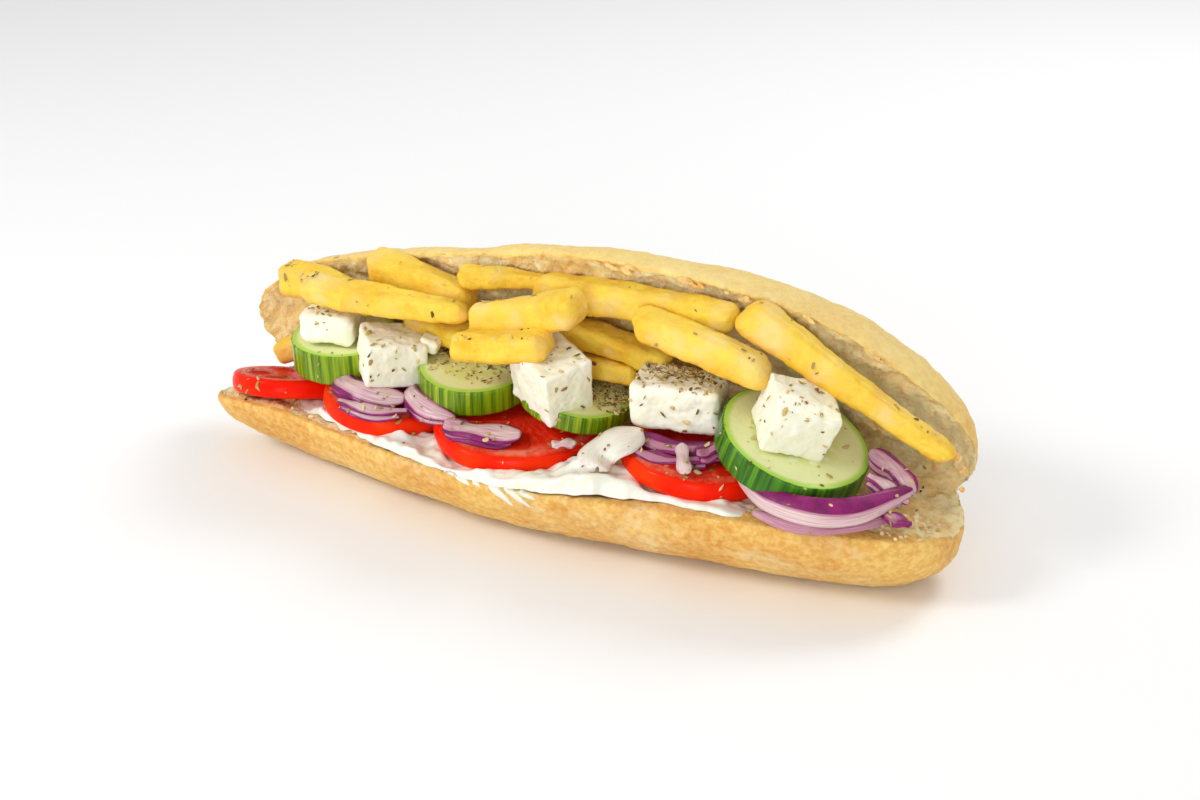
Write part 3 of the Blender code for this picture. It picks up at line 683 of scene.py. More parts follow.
# %% Cucumber slices
CUCUMBER_SLICES = (
    ("cucumber_1", (-85.0, 0.5, 42.0), 19.0, 11.0, (4.0, 0.0, 0.0), 0.0),
    ("cucumber_2", (-32.0, -0.5, 41.5), 19.5, 9.0, (5.0, 0.0, 30.0), 0.3),
    ("cucumber_3", (6.0, 0.0, 41.0), 19.0, 6.0, (8.0, 3.0, 70.0), 0.6),
    ("cucumber_4", (84.0, -6.0, 41.8), 24.0, 9.0, (6.0, 19.0, 0.0), 0.0),
)

cucumber_pieces = []
for name, centre, radius, thick, turn, warp in CUCUMBER_SLICES:
    piece = slice_blank(name, radius, thick, rings=16)
    keep_local(piece)
    for vertex in piece.data.vertices:
        p = vertex.co
        r = math.hypot(p.x, p.y) / (radius * MM)
        a = math.atan2(p.y, p.x)
        if r > 0.98:
            ridge = 0.004 * math.sin(16 * a) + 0.003 * math.sin(37 * a + 1)
            p.x *= 1 + ridge
            p.y *= 1 + ridge
        else:
            core = math.exp(-(r / 0.52) ** 6)
            pods = 0.5 + 0.5 * math.cos(3 * a + 0.7)
            p.z += math.copysign((0.12 * math.exp(-((r - 0.9) / 0.07) ** 2) - 0.22 * core * pods) * MM, p.z)
    lay_slice(piece, centre, turn, warp, radius)
    cucumber_pieces.append((name, piece, radius))
print("cucumber slices:", [triangles(piece) for _, piece, _ in cucumber_pieces])


# %% Cucumber material
def cucumber_material(radius):
    made, tree, shader, place = food_material(
        f"cucumber_{radius:.1f}".replace(".", "_"), Roughness=0.28, Specular_IOR_Level=0.25, Coat_Weight=0.15,
        Coat_Roughness=0.06, Subsurface_Weight=0.12, Subsurface_Scale=0.005)
    shader.inputs["Subsurface Radius"].default_value = (0.6, 1.0, 0.3)
    spot, reach, angle, height = local_parts(tree)
    peel = ramp(tree, reach, radius - 0.75, radius - 0.35)
    around = add_node(tree, "ShaderNodeCombineXYZ", {
        0: maths(tree, "MULTIPLY", maths(tree, "COSINE", angle), 1.0),
        1: maths(tree, "MULTIPLY", maths(tree, "SINE", angle), 1.0),
        2: maths(tree, "MULTIPLY", height, 0.0016)}).outputs[0]
    stripes = add_node(tree, "ShaderNodeTexNoise", {"Vector": around, "Scale": 9.0, "Detail": 3.0,
                                                    "Roughness": 0.75}).outputs[0]
    thin = add_node(tree, "ShaderNodeTexNoise", {"Vector": around, "Scale": 26.0, "Detail": 2.0}).outputs[0]
    dark, light, streak = (0.060, 0.165, 0.002), (0.25, 0.38, 0.004), (0.46, 0.52, 0.030)
    if radius > 20:
        dark, light, streak = (0.016, 0.10, 0.002), (0.055, 0.22, 0.004), (0.17, 0.38, 0.012)
    green = blend_colour(tree, ramp(tree, stripes, 0.38, 0.62), dark, light)
    green = blend_colour(tree, maths(tree, "MULTIPLY", ramp(tree, thin, 0.50, 0.72), 0.7), green, streak)
    inner = blend_colour(tree, ramp(tree, reach, radius * 0.50, radius * 0.64),
                         (0.74, 0.80, 0.30), (0.84, 0.88, 0.44))
    inner = blend_colour(tree, ramp(tree, reach, radius - 3.4, radius - 1.0), inner, (0.42, 0.68, 0.07))
    seed_spot = add_node(tree, "ShaderNodeCombineXYZ", {
        0: maths(tree, "MULTIPLY", reach, 0.16), 1: maths(tree, "MULTIPLY", angle, 2.3)}).outputs[0]
    seed_cells = add_node(tree, "ShaderNodeTexVoronoi", {
        "Vector": seed_spot, "Scale": 1.6}).outputs["Distance"]
    seeds = maths(tree, "MULTIPLY", ramp(tree, seed_cells, 0.42, 0.24),
                  ramp(tree, reach, radius * 0.62, radius * 0.5))
    seeds = maths(tree, "MULTIPLY", seeds, ramp(tree, reach, radius * 0.12, radius * 0.24))
    inner = blend_colour(tree, maths(tree, "MULTIPLY", seeds, 0.7), inner, (0.90, 0.90, 0.62))
    tree.links.new(blend_colour(tree, peel, inner, green), shader.inputs["Base Color"])
    wet = use_group(tree, grain, Vector=place, Scale=500.0)["Height"]
    bump(tree, shader, wet, 0.00025, 0.6)
    return made


for name, piece, radius in cucumber_pieces:
    finish_piece(piece, f"{name}_slice", "cucumber_flesh", cucumber_material(radius), name)

# %% [markdown]
# ## Cheese blocks
# White brined cheese breaks into blocks with soft corners and a crumbly, slightly pitted
# face. A cube is bevelled, remeshed into small even faces, and roughened by two
# displacements: a wide one that breaks its planes and a fine one for the crumb.

# %% Cheese
CHEESE_BLOCKS = (
    ("feta_1", (-86.0, -5.5, 53.4), (20.0, 17.0, 11.0), (3.0, 0.0, 12.0), 3.2),
    ("feta_2", (-60.5, -8.0, 46.8), (21.0, 20.0, 16.0), (4.0, 6.0, 42.0), 1.3),
    ("feta_3", (2.5, -11.0, 51.7), (22.0, 18.0, 20.0), (12.0, 12.0, -28.0), 0.9),
    ("feta_4", (44.0, -2.0, 48.6), (29.0, 17.5, 15.5), (4.0, 0.0, 10.0), 2.2),
    ("feta_5", (86.5, -10.5, 54.5), (21.0, 19.0, 17.0), (16.0, 17.0, 34.0), 1.2),
    ("feta_crumb", (-47.5, -4.0, 52.0), (7.0, 6.0, 5.0), (10.0, 20.0, 15.0), 1.4),
)

cheese_paint, tree, shader, place = food_material(
    "white_cheese", Roughness=0.42, Subsurface_Weight=0.18, Subsurface_Scale=0.004, Specular_IOR_Level=0.4)
shader.inputs["Subsurface Radius"].default_value = (1.0, 0.9, 0.6)
milk = mottled(tree, place, 120.0, 0.38, 0.7,
               (0.95, 0.93, 0.78), (0.91, 0.89, 0.66))
tree.links.new(milk, shader.inputs["Base Color"])
fine = use_group(tree, grain, Vector=place, Scale=650.0)["Height"]
bump(tree, shader, fine, 0.0003, 0.4)

cheese_breaks = cloud_texture("cheese_breaks", 0.007, 2)
cheese_crumbs = cloud_texture("cheese_crumbs", 0.0016, 2)


def bevelled_block(name, size, corner, voxel, smoothing=3):
    bpy.ops.object.select_all(action="DESELECT")
    bpy.ops.mesh.primitive_cube_add(size=1.0, location=(0, 0, 0))
    block = bpy.context.object
    block.name = name
    bpy.ops.object.mode_set(mode="EDIT")
    bpy.ops.mesh.select_all(action="SELECT")
    bpy.ops.transform.resize(value=[v * MM for v in size])
    bpy.ops.mesh.bevel(offset=corner * MM, segments=4, affect="EDGES")
    bpy.ops.object.mode_set(mode="OBJECT")
    modify(block, "REMESH", mode="VOXEL", voxel_size=voxel * MM)
    modify(block, "SMOOTH", factor=0.5, iterations=smoothing)
    return block


for name, centre, size, turn, corner in CHEESE_BLOCKS:
    piece = bevelled_block(name, size, corner, 0.42, smoothing=1)
    angles = [math.radians(v) for v in turn]
    piece.data.transform(Matrix.Translation(Vector(centre) * MM) @ Euler(angles).to_matrix().to_4x4())
    modify(piece, "DISPLACE", texture=cheese_breaks, strength=0.0019, mid_level=0.5)
    modify(piece, "DISPLACE", texture=cheese_crumbs, strength=0.00035, mid_level=0.5)
    finish_piece(piece, f"{name}_block", "white_cheese", cheese_paint, name)
    print(piece.name, triangles(piece), "triangles")

# %% [markdown]
# ## Fries
# Thick fries are sticks of potato with softened corners, a dry golden skin, browner
# edges and slightly collapsed faces. Each starts as a bevelled block with small even
# faces, is bent along a line of three points, and is dented by displacement.

# %% Fries
FRIES = (
    ("fry_01", ((-113.0, 4.0, 63.0), (-94.0, 4.0, 62.5), (-72.0, 3.0, 59.0)), 11.0, 12.0, 0.9),
    ("fry_02", ((-95.0, -8.5, 66.3), (-62.0, -9.0, 66.5), (-31.0, -6.0, 66.5)), 11.0, 10.0, 0.8),
    ("fry_03", ((-76.0, 5.0, 73.5), (-55.0, 4.5, 70.5), (-34.0, 4.0, 66.0)), 12.0, 12.0, 0.9),
    ("fry_04", ((-38.0, 0.0, 76.5), (-24.0, 5.0, 76.5), (-8.0, 9.0, 76.0)), 8.0, 7.0, 0.8),
    ("fry_05", ((-29.0, -6.0, 64.5), (-8.0, -8.0, 71.0), (14.0, -12.5, 78.5)), 12.0, 12.0, 1.05),
    ("fry_06", ((-31.0, -14.5, 58.5), (-14.0, -16.0, 61.5), (5.0, -16.0, 66.0)), 12.0, 10.0, 1.0),
    ("fry_07", ((-12.0, 7.0, 74.0), (24.0, 4.0, 76.5), (61.0, 2.5, 77.0)), 11.0, 12.0, 0.9),
    ("fry_08", ((30.0, -6.0, 75.0), (53.0, -8.0, 71.0), (77.0, -9.0, 65.5)), 12.0, 11.0, 1.0),
    ("fry_09", ((63.5, 1.5, 81.5), (98.0, 0.5, 63.5), (132.0, 2.0, 45.0)), 11.0, 13.0, 0.55),
    ("fry_10", ((-11.0, 5.0, 62.5), (12.0, 7.0, 60.0), (36.0, 8.0, 55.5)), 11.0, 10.0, 0.9),
    ("fry_11", ((5.0, 4.0, 51.0), (14.0, 5.0, 51.0), (26.0, 6.0, 50.0)), 8.0, 8.0, 1.0),
    ("fry_12", ((-122.5, 12.0, 28.5), (-113.0, 11.0, 33.5), (-103.0, 10.0, 39.5)), 10.0, 9.0, 0.9),
    ("fry_13", ((-62.0, 6.0, 54.0), (-44.0, 3.0, 54.0), (-24.0, 2.0, 53.5)), 11.0, 10.0, 0.9),
)

fry_paint, tree, shader, place = food_material(
    "fried_potato", Roughness=0.42, Specular_IOR_Level=0.25, Subsurface_Weight=0.15, Subsurface_Scale=0.004)
shader.inputs["Subsurface Radius"].default_value = (1.0, 0.7, 0.2)
spot = read_attribute(tree, "local", "Vector")
split = add_node(tree, "ShaderNodeSeparateXYZ", {0: spot}).outputs
butter = mottled(tree, place, 60.0, 0.34, 0.64,
                 (0.93, 0.64, 0.035), (0.89, 0.49, 0.008))
starchy = mottled(tree, place, 150.0, 0.42, 0.70,
                  (0.95, 0.71, 0.11), (0.84, 0.42, 0.010))
fry_colour = blend_colour(tree, 0.55, butter, starchy)
# Pale cream patches on the fries: partly translucent potato, partly painted highlight standing in for the
# oily shine
clear = patch_mask(tree, place, 75.0, 0.46, 0.70)
fry_colour = blend_colour(tree, maths(tree, "MULTIPLY", clear, 0.5), fry_colour, (0.97, 0.85, 0.42))
corner_mask = maths(tree, "MULTIPLY", ramp(tree, maths(tree, "ABSOLUTE", split[1]), 0.62, 1.0),
                    ramp(tree, maths(tree, "ABSOLUTE", split[2]), 0.62, 1.0))
# The underside of each fry is painted orange: painted shade where the fry turns away from the light
painted_underside_shade = ramp(tree, split[2], -0.15, -0.95)
fry_colour = blend_colour(tree, maths(tree, "MULTIPLY", painted_underside_shade, 0.55), fry_colour, (0.86, 0.42, 0.012))
tip_mask = ramp(tree, maths(tree, "ABSOLUTE", split[0]), 0.90, 1.02)
brown_noise = patch_mask(tree, place, 160.0, 0.36, 0.62)
edges = maths(tree, "MAXIMUM", corner_mask, maths(tree, "MULTIPLY", tip_mask, 0.5))
brown = maths(tree, "MULTIPLY", edges, brown_noise)
fry_colour = blend_colour(tree, maths(tree, "MULTIPLY", brown, 0.75), fry_colour, (0.74, 0.33, 0.03))
tree.links.new(fry_colour, shader.inputs["Base Color"])
fine = use_group(tree, grain, Vector=place, Scale=420.0)["Height"]
bump(tree, shader, fine, 0.0008, 0.7)

fry_dents = cloud_texture("fry_dents", 0.009, 2)
fry_skin = cloud_texture("fry_skin", 0.0022, 2)


def line_point(line, t):
    rows = [(i, *p) for i, p in enumerate(line)]
    last = len(line) - 1
    return Vector(smooth_row(rows, min(max(t, 0.0), 0.999999) * last)) * MM


def bent_fry(name, line, width, height, taper):
    samples = [line_point(line, i / 60) for i in range(61)]
    length = sum((b - a).length for a, b in zip(samples, samples[1:]))
    stick = bevelled_block(name, (length / MM, width, height), 0.30 * min(width, height), 0.62)
    store = stick.data.attributes.new("local", "FLOAT_VECTOR", "POINT")
    for vertex in stick.data.vertices:
        p = vertex.co.copy()
        t = p.x / length + 0.5
        store.data[vertex.index].vector = (p.x / length * 2, p.y / (width * MM) * 2, p.z / (height * MM) * 2)
        middle = line_point(line, t)
        ahead = (line_point(line, min(t + 0.02, 1.0)) - line_point(line, max(t - 0.02, 0.0))).normalized()
        side = ahead.cross(Vector((0, 0, 1))).normalized()
        top = side.cross(ahead)
        shrink = 1 + (taper - 1) * t
        # The sides swell and sag along the stick, and the ends draw in to a soft blunt tip
        near_end = max(0.0, abs(2 * t - 1) - 0.80) / 0.20
        swell = 1 + 0.05 * math.sin(6 * t + line[0][0]) - 0.30 * near_end ** 2
        sag = swell * (1 - 0.07 * (1 - min(1.0, abs(p.z) / (height * MM / 2)) ** 2))
        sag_top = swell * (1 - 0.06 * (1 - min(1.0, abs(p.y) / (width * MM / 2)) ** 2))
        twist = 0.22 * math.sin(3 * t + line[1][0])
        p = Matrix.Rotation(twist, 3, "X") @ p
        skew = 0.25 * math.sin(line[0][0]) * p.z
        beyond = (t - min(max(t, 0.0), 1.0)) * length + skew
        vertex.co = middle + ahead * beyond + side * (-p.y * shrink * sag) + top * (p.z * shrink * sag_top)
    return stick


for name, line, width, height, taper in FRIES:
    piece = bent_fry(name, line, width, height, taper)
    modify(piece, "DISPLACE", texture=fry_dents, strength=0.0016, mid_level=0.5)
    modify(piece, "DISPLACE", texture=fry_skin, strength=0.0004, mid_level=0.5)
    finish_piece(piece, f"{name}_stick", "fried_potato", fry_paint, name)
    print(piece.name, triangles(piece), "triangles")

# %% [markdown]
# ## Red onion
# Sliced onion falls into curved, slightly see-through strips: purple where the skin
# side shows, lilac to white inside. A flat grid is laid along each strip's line, arched
# across its width, rippled, and given its thickness by Solidify.

# %% Onion strips
# name, line, width, thickness, lean, colour of the flesh, strength and reach of the skin, bluntness, layers
ONION_STRIPS = (
    ("onion_01", ((-79, -14, 39), (-73, -19, 38.5), (-62, -21, 38), (-50, -18, 37)),
     9.0, 1.6, -25, 0.27, 1.0, -0.55, 0.6, 3),
    ("onion_02", ((-71, -26, 35.4), (-59, -27, 35.2), (-46, -23, 35)),
     5.0, 2.0, -10, 0.27, 1.0, -0.3, 0.2, 2),
    ("onion_03", ((-53, -9, 38), (-49, -16, 38), (-40, -21, 37), (-28, -23, 36)),
     6.5, 2.0, -35, 0.30, 1.0, -0.5, 0.4, 2),
    ("onion_04", ((-29, -26, 35.8), (-17, -27, 36), (-3, -23, 35.8)), 9.0, 1.7, -12, 0.26, 1.0, -0.5, 0.7, 2),
    ("onion_05", ((37, -15.5, 42), (31, -22, 40.5), (27.5, -28, 37.5), (30, -33, 35.2)),
     13.0, 1.5, 10, -0.12, 0.15, -0.8, 0.6, 1),
    ("onion_06", ((33, -13, 38.8), (45, -16, 38.8), (57, -14, 38.8), (67, -9, 38.8)),
     6.5, 2.0, -25, 0.42, 1.0, -0.1, 0.3, 3),
    ("onion_07", ((38, -22, 37.4), (50, -22, 37.4), (62, -17, 37.8)), 4.5, 2.0, -8, 0.38, 1.0, -0.1, 0.3, 3),
    ("onion_08", ((52, -18, 41), (55, -24, 39.5), (58, -29, 37.7)), 4.0, 1.8, 0, 0.12, 0.2, -0.8, 0.8, 1),
    ("onion_09", ((9, -23, 34.6), (15, -19, 34.8)), 4.5, 1.8, 0, 0.10, 0.2, -0.8, 0.8, 1),
    ("onion_10", ((58, -20, 40.5), (65, -12, 41.5)), 5.0, 1.8, -20, 0.4, 1.0, -0.2, 0.5, 2),
    ("onion_11", ((73, -23, 37.5), (86, -31, 36), (101, -32, 35.5), (113, -25.5, 36), (124, -10, 38)),
     7.6, 2.0, -52, 0.24, 1.0, 0.36, 0.5, 1),
    ("onion_12", ((82, -32, 31), (97, -34, 30.8), (110, -29, 30.8), (120, -17, 31.2)),
     4.2, 2.4, -20, 0.30, 0.1, -0.8, 0.5, 1),
    ("onion_13", ((108, -1, 43.5), (117, -3, 40), (124, -8, 36)), 6.0, 1.8, -30, 0.24, 1.0, -0.5, 0.4, 2),
    ("onion_14", ((111, -12, 41), (118, -12, 38), (124, -13, 35)), 5.0, 1.8, -20, 0.25, 1.0, -0.4, 0.4, 2),
    ("onion_15", ((118, -19, 33), (127, -20, 31.8)), 5.5, 1.8, -5, 0.6, 0.5, -0.2, 0.5, 1),
)

onion_paint, tree, shader, place = food_material(
    "red_onion", Roughness=0.28, Specular_IOR_Level=0.3, Coat_Weight=0.15, Coat_Roughness=0.08,
    Subsurface_Weight=0.35, Subsurface_Scale=0.003)
shader.inputs["Subsurface Radius"].default_value = (1.0, 0.6, 0.8)
stain = read_attribute(tree, "stain")
veins = add_node(tree, "ShaderNodeUVMap", uv_map="strip").outputs[0]
veins = add_node(tree, "ShaderNodeMapping", {"Vector": veins, "Scale": (1.2, 9.0, 1.0)}).outputs[0]
streaks = add_node(tree, "ShaderNodeTexNoise", {"Vector": veins, "Scale": 3.0, "Detail": 3.0}).outputs[0]
stain = maths(tree, "MULTIPLY_ADD", maths(tree, "SUBTRACT", streaks, 0.5), 0.62, stain)
clear = blend_colour(tree, ramp(tree, stain, -0.14, 0.10), (0.90, 0.84, 0.74), (0.80, 0.61, 0.58))
pale = blend_colour(tree, ramp(tree, stain, 0.06, 0.36), clear, (0.50, 0.21, 0.30))
purple = mottled(tree, place, 130.0, 0.35, 0.7,
                 (0.17, 0.003, 0.085), (0.32, 0.012, 0.17))
tree.links.new(blend_colour(tree, ramp(tree, stain, 0.44, 0.56), pale, purple), shader.inputs["Base Color"])
bump(tree, shader, streaks, 0.0006, 0.4)


def onion_layer(line, width, thick, lean, dye, skin, band, blunt, side_step, drop, span):
    # One layer of a ring: an arched crescent along part of the line
    bpy.ops.object.select_all(action="DESELECT")
    bpy.ops.mesh.primitive_grid_add(x_subdivisions=84, y_subdivisions=14, size=1.0, location=(0, 0, 0))
    layer = bpy.context.object
    layer.data.uv_layers[0].name = "strip"
    store = layer.data.attributes.new("stain", "FLOAT", "POINT")
    turn = math.radians(lean)
    seed = line[0][0] + 3 * side_step
    for vertex in layer.data.vertices:
        s = vertex.co.x + 0.5
        t = span[0] + (span[1] - span[0]) * s
        v = vertex.co.y * 2
        middle = line_point(line, t)
        ahead = (line_point(line, min(t + 0.02, 1.0)) - line_point(line, max(t - 0.02, 0.0))).normalized()
        side = ahead.cross(Vector((0, 0, 1))).normalized()
        top = side.cross(ahead)
        narrow = min(1.0, (4 * s * (1 - s)) ** (0.6 - 0.4 * blunt) + 0.12)
        a = (v * width / 2 * narrow * (1 + 0.12 * math.sin(7 * t + seed)) + side_step) * MM
        b = (-0.16 * width * v * v + 0.35 * math.sin(9 * t + seed + 1.5 * v) - drop) * MM
        vertex.co = (middle + side * (a * math.cos(turn) - b * math.sin(turn))
                     + top * (a * math.sin(turn) + b * math.cos(turn)))
        rim = max(0.0, min(1.0, (band - v) / 0.3 + 0.3 * math.sin(3 * t + seed))) * skin
        if band < 0:
            rim = max(rim, min(1.0, (v - 0.66 - 0.14 * math.sin(5 * t + seed)) / 0.2) * skin)
        store.data[vertex.index].value = dye * (0.85 + 0.2 * math.sin(2.5 * t + seed)) + 0.6 * rim
    modify(layer, "SOLIDIFY", thickness=thick * 0.55 * MM, offset=0.0)
    return layer


def onion_strip(name, line, width, thick, lean, dye, skin, band, blunt, layers):
    # The layers of one strip lie nested, each a little lower and shorter than the last
    made = []
    for k in range(layers):
        span = (0.0 + 0.07 * k, 1.0 - 0.09 * k)
        made.append(onion_layer(line, width * (1 - 0.2 * k), thick, lean - 6 * k, dye, skin, band, blunt,
                                (0.0, 2.0, -1.8)[k], 1.25 * k, span))
    bpy.ops.object.select_all(action="DESELECT")
    for layer in made:
        layer.select_set(True)
    bpy.context.view_layer.objects.active = made[0]
    if layers > 1:
        bpy.ops.object.join()
    return made[0]


onion_triangles = 0
for name, line, width, thick, lean, *looks in ONION_STRIPS:
    piece = onion_strip(name, line, width, thick, lean, *looks)
    finish_piece(piece, f"{name}_strip", "red_onion", onion_paint, name)
    onion_triangles += triangles(piece)
print("onion strips:", len(ONION_STRIPS), "with", onion_triangles, "triangles")

# %% [markdown]
# ## White sauce
# Thick sauce was spread on the cut face and pushed out along the rim by the tomato. It is
# a grid draped on the bread by rays from above: thin where a slice presses on it, in a
# thick fold between the two big slices, and closed by Solidify. Where it ran over the
# rim it left smears, which are narrow ribbons draped on the crust from the front.

# %% Sauce
# One row a station in mm: x, distance of the edge inside the rim, thickness
SAUCE_EDGE = (
    (-98.0, 9.0, 0.6),
    (-88.0, 7.0, 1.4),
    (-72.0, 4.2, 2.4),
    (-55.0, 2.2, 3.0),
    (-38.0, 1.4, 2.6),
    (-22.0, 1.1, 1.4),
    (-8.0, 0.9, 1.8),
    (6.0, 0.7, 3.2),
    (18.0, 0.9, 5.2),
    (28.0, 1.6, 6.6),
    (38.0, 4.2, 4.6),
    (50.0, 5.0, 1.8),
    (64.0, 3.4, 1.2),
    (80.0, 3.0, 0.8),
)
# Where sauce ran over the crust: start x and z, end x and z, width
SAUCE_SMEARS = (
    (-23.0, 26.5, -13.0, 21.5, 2.2),
    (-17.0, 27.0, -9.0, 22.0, 1.6),
    (-9.0, 27.5, 3.0, 17.6, 3.0),
    (-3.0, 27.5, 9.0, 18.2, 2.6),
    (1.5, 27.5, 11.0, 21.8, 2.4),
)

sauce_paint, tree, shader, place = food_material(
    "white_sauce", Roughness=0.3, Coat_Weight=0.25, Coat_Roughness=0.08, Subsurface_Weight=0.15,
    Subsurface_Scale=0.003)
cream = mottled(tree, place, 60.0, 0.4, 0.7,
                (0.89, 0.87, 0.77), (0.85, 0.80, 0.66))
tree.links.new(cream, shader.inputs["Base Color"])
smear = add_node(tree, "ShaderNodeTexNoise", {"Vector": place, "Scale": 160.0, "Detail": 2.0}).outputs[0]
bump(tree, shader, smear, 0.0004, 0.25)

bread_surface = BVHTree.FromObject(bread, bpy.context.evaluated_depsgraph_get())


def draped_grid(name, columns, rows, rule, thick, smoothing=2):
    # The rule gives a point of the bread and how far the sauce stands above it there
    bpy.ops.object.select_all(action="DESELECT")
    bpy.ops.mesh.primitive_grid_add(x_subdivisions=columns, y_subdivisions=rows, size=1.0, location=(0, 0, 0))
    sheet = bpy.context.object
    sheet.name = name
    for vertex in sheet.data.vertices:
        vertex.co = rule(vertex.co.x + 0.5, vertex.co.y + 0.5)
    modify(sheet, "SMOOTH", factor=0.5, iterations=smoothing)
    modify(sheet, "SOLIDIFY", thickness=thick * MM, offset=-1.0)
    return sheet


def spread_point(s, t):
    x = SAUCE_EDGE[0][0] + (SAUCE_EDGE[-1][0] - SAUCE_EDGE[0][0]) * s
    inside, height = smooth_row(SAUCE_EDGE, x)
    near, far, depth, lift = smooth_row(LOWER_OUTLINE, x)
    wave = noise.noise(Vector((x / 7, 3.0, 0))) * 1.6 + noise.noise(Vector((x / 2.6, 9.0, 0))) * 0.5
    edge = HINGE_Y - far + inside + wave * min(1.0, max(0.1, inside / 3))
    y = edge + 19.0 * t ** 1.4
    spot = None
    while spot is None:
        # Steps inwards from outside the rim until there is bread under the point
        spot, normal, _, _ = bread_surface.ray_cast(Vector((x, y, 60.0)) * MM, Vector((0, 0, -1)))
        y += 0.3
    ends = min(1.0, 12 * min(s, 1 - s)) ** 0.5
    rise = min(1.0, (y - edge) / (1.6 + 0.35 * height)) * math.pi / 2
    fold = 1.0 + 0.6 * noise.noise(Vector((x / 11, y / 5, 2.0)))
    top = (math.sin(rise) ** 0.7 * (height * fold + 1.5) * ends - 0.9) * MM
    return spot + Vector((0, 0, top))


sauce_sheets = [draped_grid("sauce_spread", 380, 40, spread_point, 0.8, 12)]
for x0, z0, x1, z1, width in SAUCE_SMEARS:
    def smear_point(s, t):
        half = width / 2 * (1 - s ** 5) ** 0.5 * (0.9 + 0.2 * math.sin(7 * s + x0))
        reach = math.hypot(x1 - x0, z1 - z0)
        off = (2 * t - 1) * half + 0.3 * math.sin(6 * s + x0)
        x = x0 + (x1 - x0) * s - (z1 - z0) / reach * off
        z = z0 + (z1 - z0) * s + (x1 - x0) / reach * off
        spot = None
        while spot is None or spot.y > -0.020:
            # Steps down from above the rim until the front of the crust is hit
            spot, normal, _, _ = bread_surface.ray_cast(Vector((x, -90.0, z)) * MM, Vector((0, 1, 0)))
            z -= 0.3
        crest = 0.7 * (math.sin(math.pi * t) * (1 - s ** 4)) ** 0.7 * (1 + 0.3 * math.sin(9 * s + 5 * t + x0))
        return spot + normal * (crest - 0.12) * MM

    sauce_sheets.append(draped_grid("smear", 40, 9, smear_point, 0.4))
bpy.ops.object.select_all(action="DESELECT")
for sheet in sauce_sheets:
    sheet.select_set(True)
bpy.context.view_layer.objects.active = sauce_sheets[0]
bpy.ops.object.join()
sauce = sauce_sheets[0]
finish_piece(sauce, "sauce_layer", "white_sauce", sauce_paint, "sauce")
print("sauce:", triangles(sauce), "triangles")

# %% [markdown]
# ## Torn and toasted bits
# The baker's knife leaves flaky bits of crust along the upper rim, and the ends of the
# roll carry small toasted lumps. Crumbs have fallen on the lower cut face. They are
# rough little balls of one or two millimetres, joined and dented all at once.

# %% Crust bits and crumbs
def small_ball(spot, size, stretch, flat, lean):
    bpy.ops.object.select_all(action="DESELECT")
    bpy.ops.mesh.primitive_ico_sphere_add(subdivisions=3, radius=1.0, location=(0, 0, 0))
    ball = bpy.context.object
    turn = Euler(lean).to_matrix().to_4x4()
    ball.data.transform(Matrix.Translation(spot) @ turn
                        @ Matrix.Diagonal((size * stretch, size * 0.8, size * flat, 1)))
    return ball


def roughened_pile(balls, dents, strength):
    # Joins the balls and dents them all at once
    bpy.ops.object.select_all(action="DESELECT")
    for ball in balls:
        ball.select_set(True)
    bpy.context.view_layer.objects.active = balls[0]
    bpy.ops.object.join()
    modify(balls[0], "DISPLACE", texture=dents, strength=strength, mid_level=0.5)
    return balls[0]


bit_dents = cloud_texture("bit_dents", 0.0012, 2)
dice = random.Random(11)
flaps = []
for _ in range(15):
    # Along the upper rim, close in front of the crust's edge
    x = dice.uniform(-20.0, 128.0)
    near, far, depth, lift = smooth_row(UPPER_OUTLINE, x)
    spot = upper_place(x, far - dice.uniform(0.6, 2.6), dice.uniform(0.2, 1.0), 0.0)
    flaps.append(small_ball(spot, dice.uniform(0.6, 1.3) * MM, dice.uniform(1.0, 2.6), 0.35,
                            (dice.uniform(0, 3), 0.3, dice.uniform(-0.5, 0.5))))
for x, y, z, size in ((133.5, 4.0, 44.5, 1.6), (134.5, 9.0, 38.0, 1.3), (135.0, 6.0, 20.5, 1.9),
                      (132.0, -4.0, 22.0, 1.5), (128.5, -11.0, 24.0, 1.2), (134.0, 12.0, 30.0, 1.2)):
    flaps.append(small_ball(Vector((x, y, z)) * MM, size * MM, 1.0, 0.7, (x, y, z)))
crust_bits = roughened_pile(flaps, bit_dents, 0.0011)
toasted_paint, tree, shader, place = food_material("toasted_crust", Specular_IOR_Level=0.15, Roughness=0.7)
toast = mottled(tree, place, 300.0, 0.35, 0.65,
                (0.94, 0.68, 0.28), (0.78, 0.40, 0.09))
tree.links.new(toast, shader.inputs["Base Color"])
bump(tree, shader, use_group(tree, grain, Vector=place, Scale=900.0)["Height"], 0.0004, 0.6)
finish_piece(crust_bits, "toasted_bits", "bread_crust", toasted_paint)

crumbs = []
for _ in range(70):
    x = dice.uniform(96.0, 131.0) if dice.random() < 0.7 else dice.uniform(-125.0, 90.0)
    near, far, depth, lift = smooth_row(LOWER_OUTLINE, x)
    y = HINGE_Y - far + dice.triangular(1.5, 26.0, 4.0)
    spot, normal, _, _ = bread_surface.ray_cast(Vector((x, y, 60.0)) * MM, Vector((0, 0, -1)))
    if spot is None or spot.z < 0.018:
        continue
    size = dice.triangular(0.35, 1.3, 0.5) * MM
    crumbs.append(small_ball(spot + normal * size * 0.3, size, 1.2, 0.8, (x, y, 0.3)))
loose_crumbs = roughened_pile(crumbs, bit_dents, 0.0006)
crumb_paint, tree, shader, place = food_material("loose_crumb", Specular_IOR_Level=0.15, Roughness=0.85)
pale_crumb = mottled(tree, place, 260.0, 0.35, 0.65,
                     (0.95, 0.80, 0.52), (0.88, 0.58, 0.26))
tree.links.new(pale_crumb, shader.inputs["Base Color"])
bump(tree, shader, use_group(tree, grain, Vector=place, Scale=900.0)["Height"], 0.0004, 0.6)
finish_piece(loose_crumbs, "loose_crumbs", "bread_crust", crumb_paint)
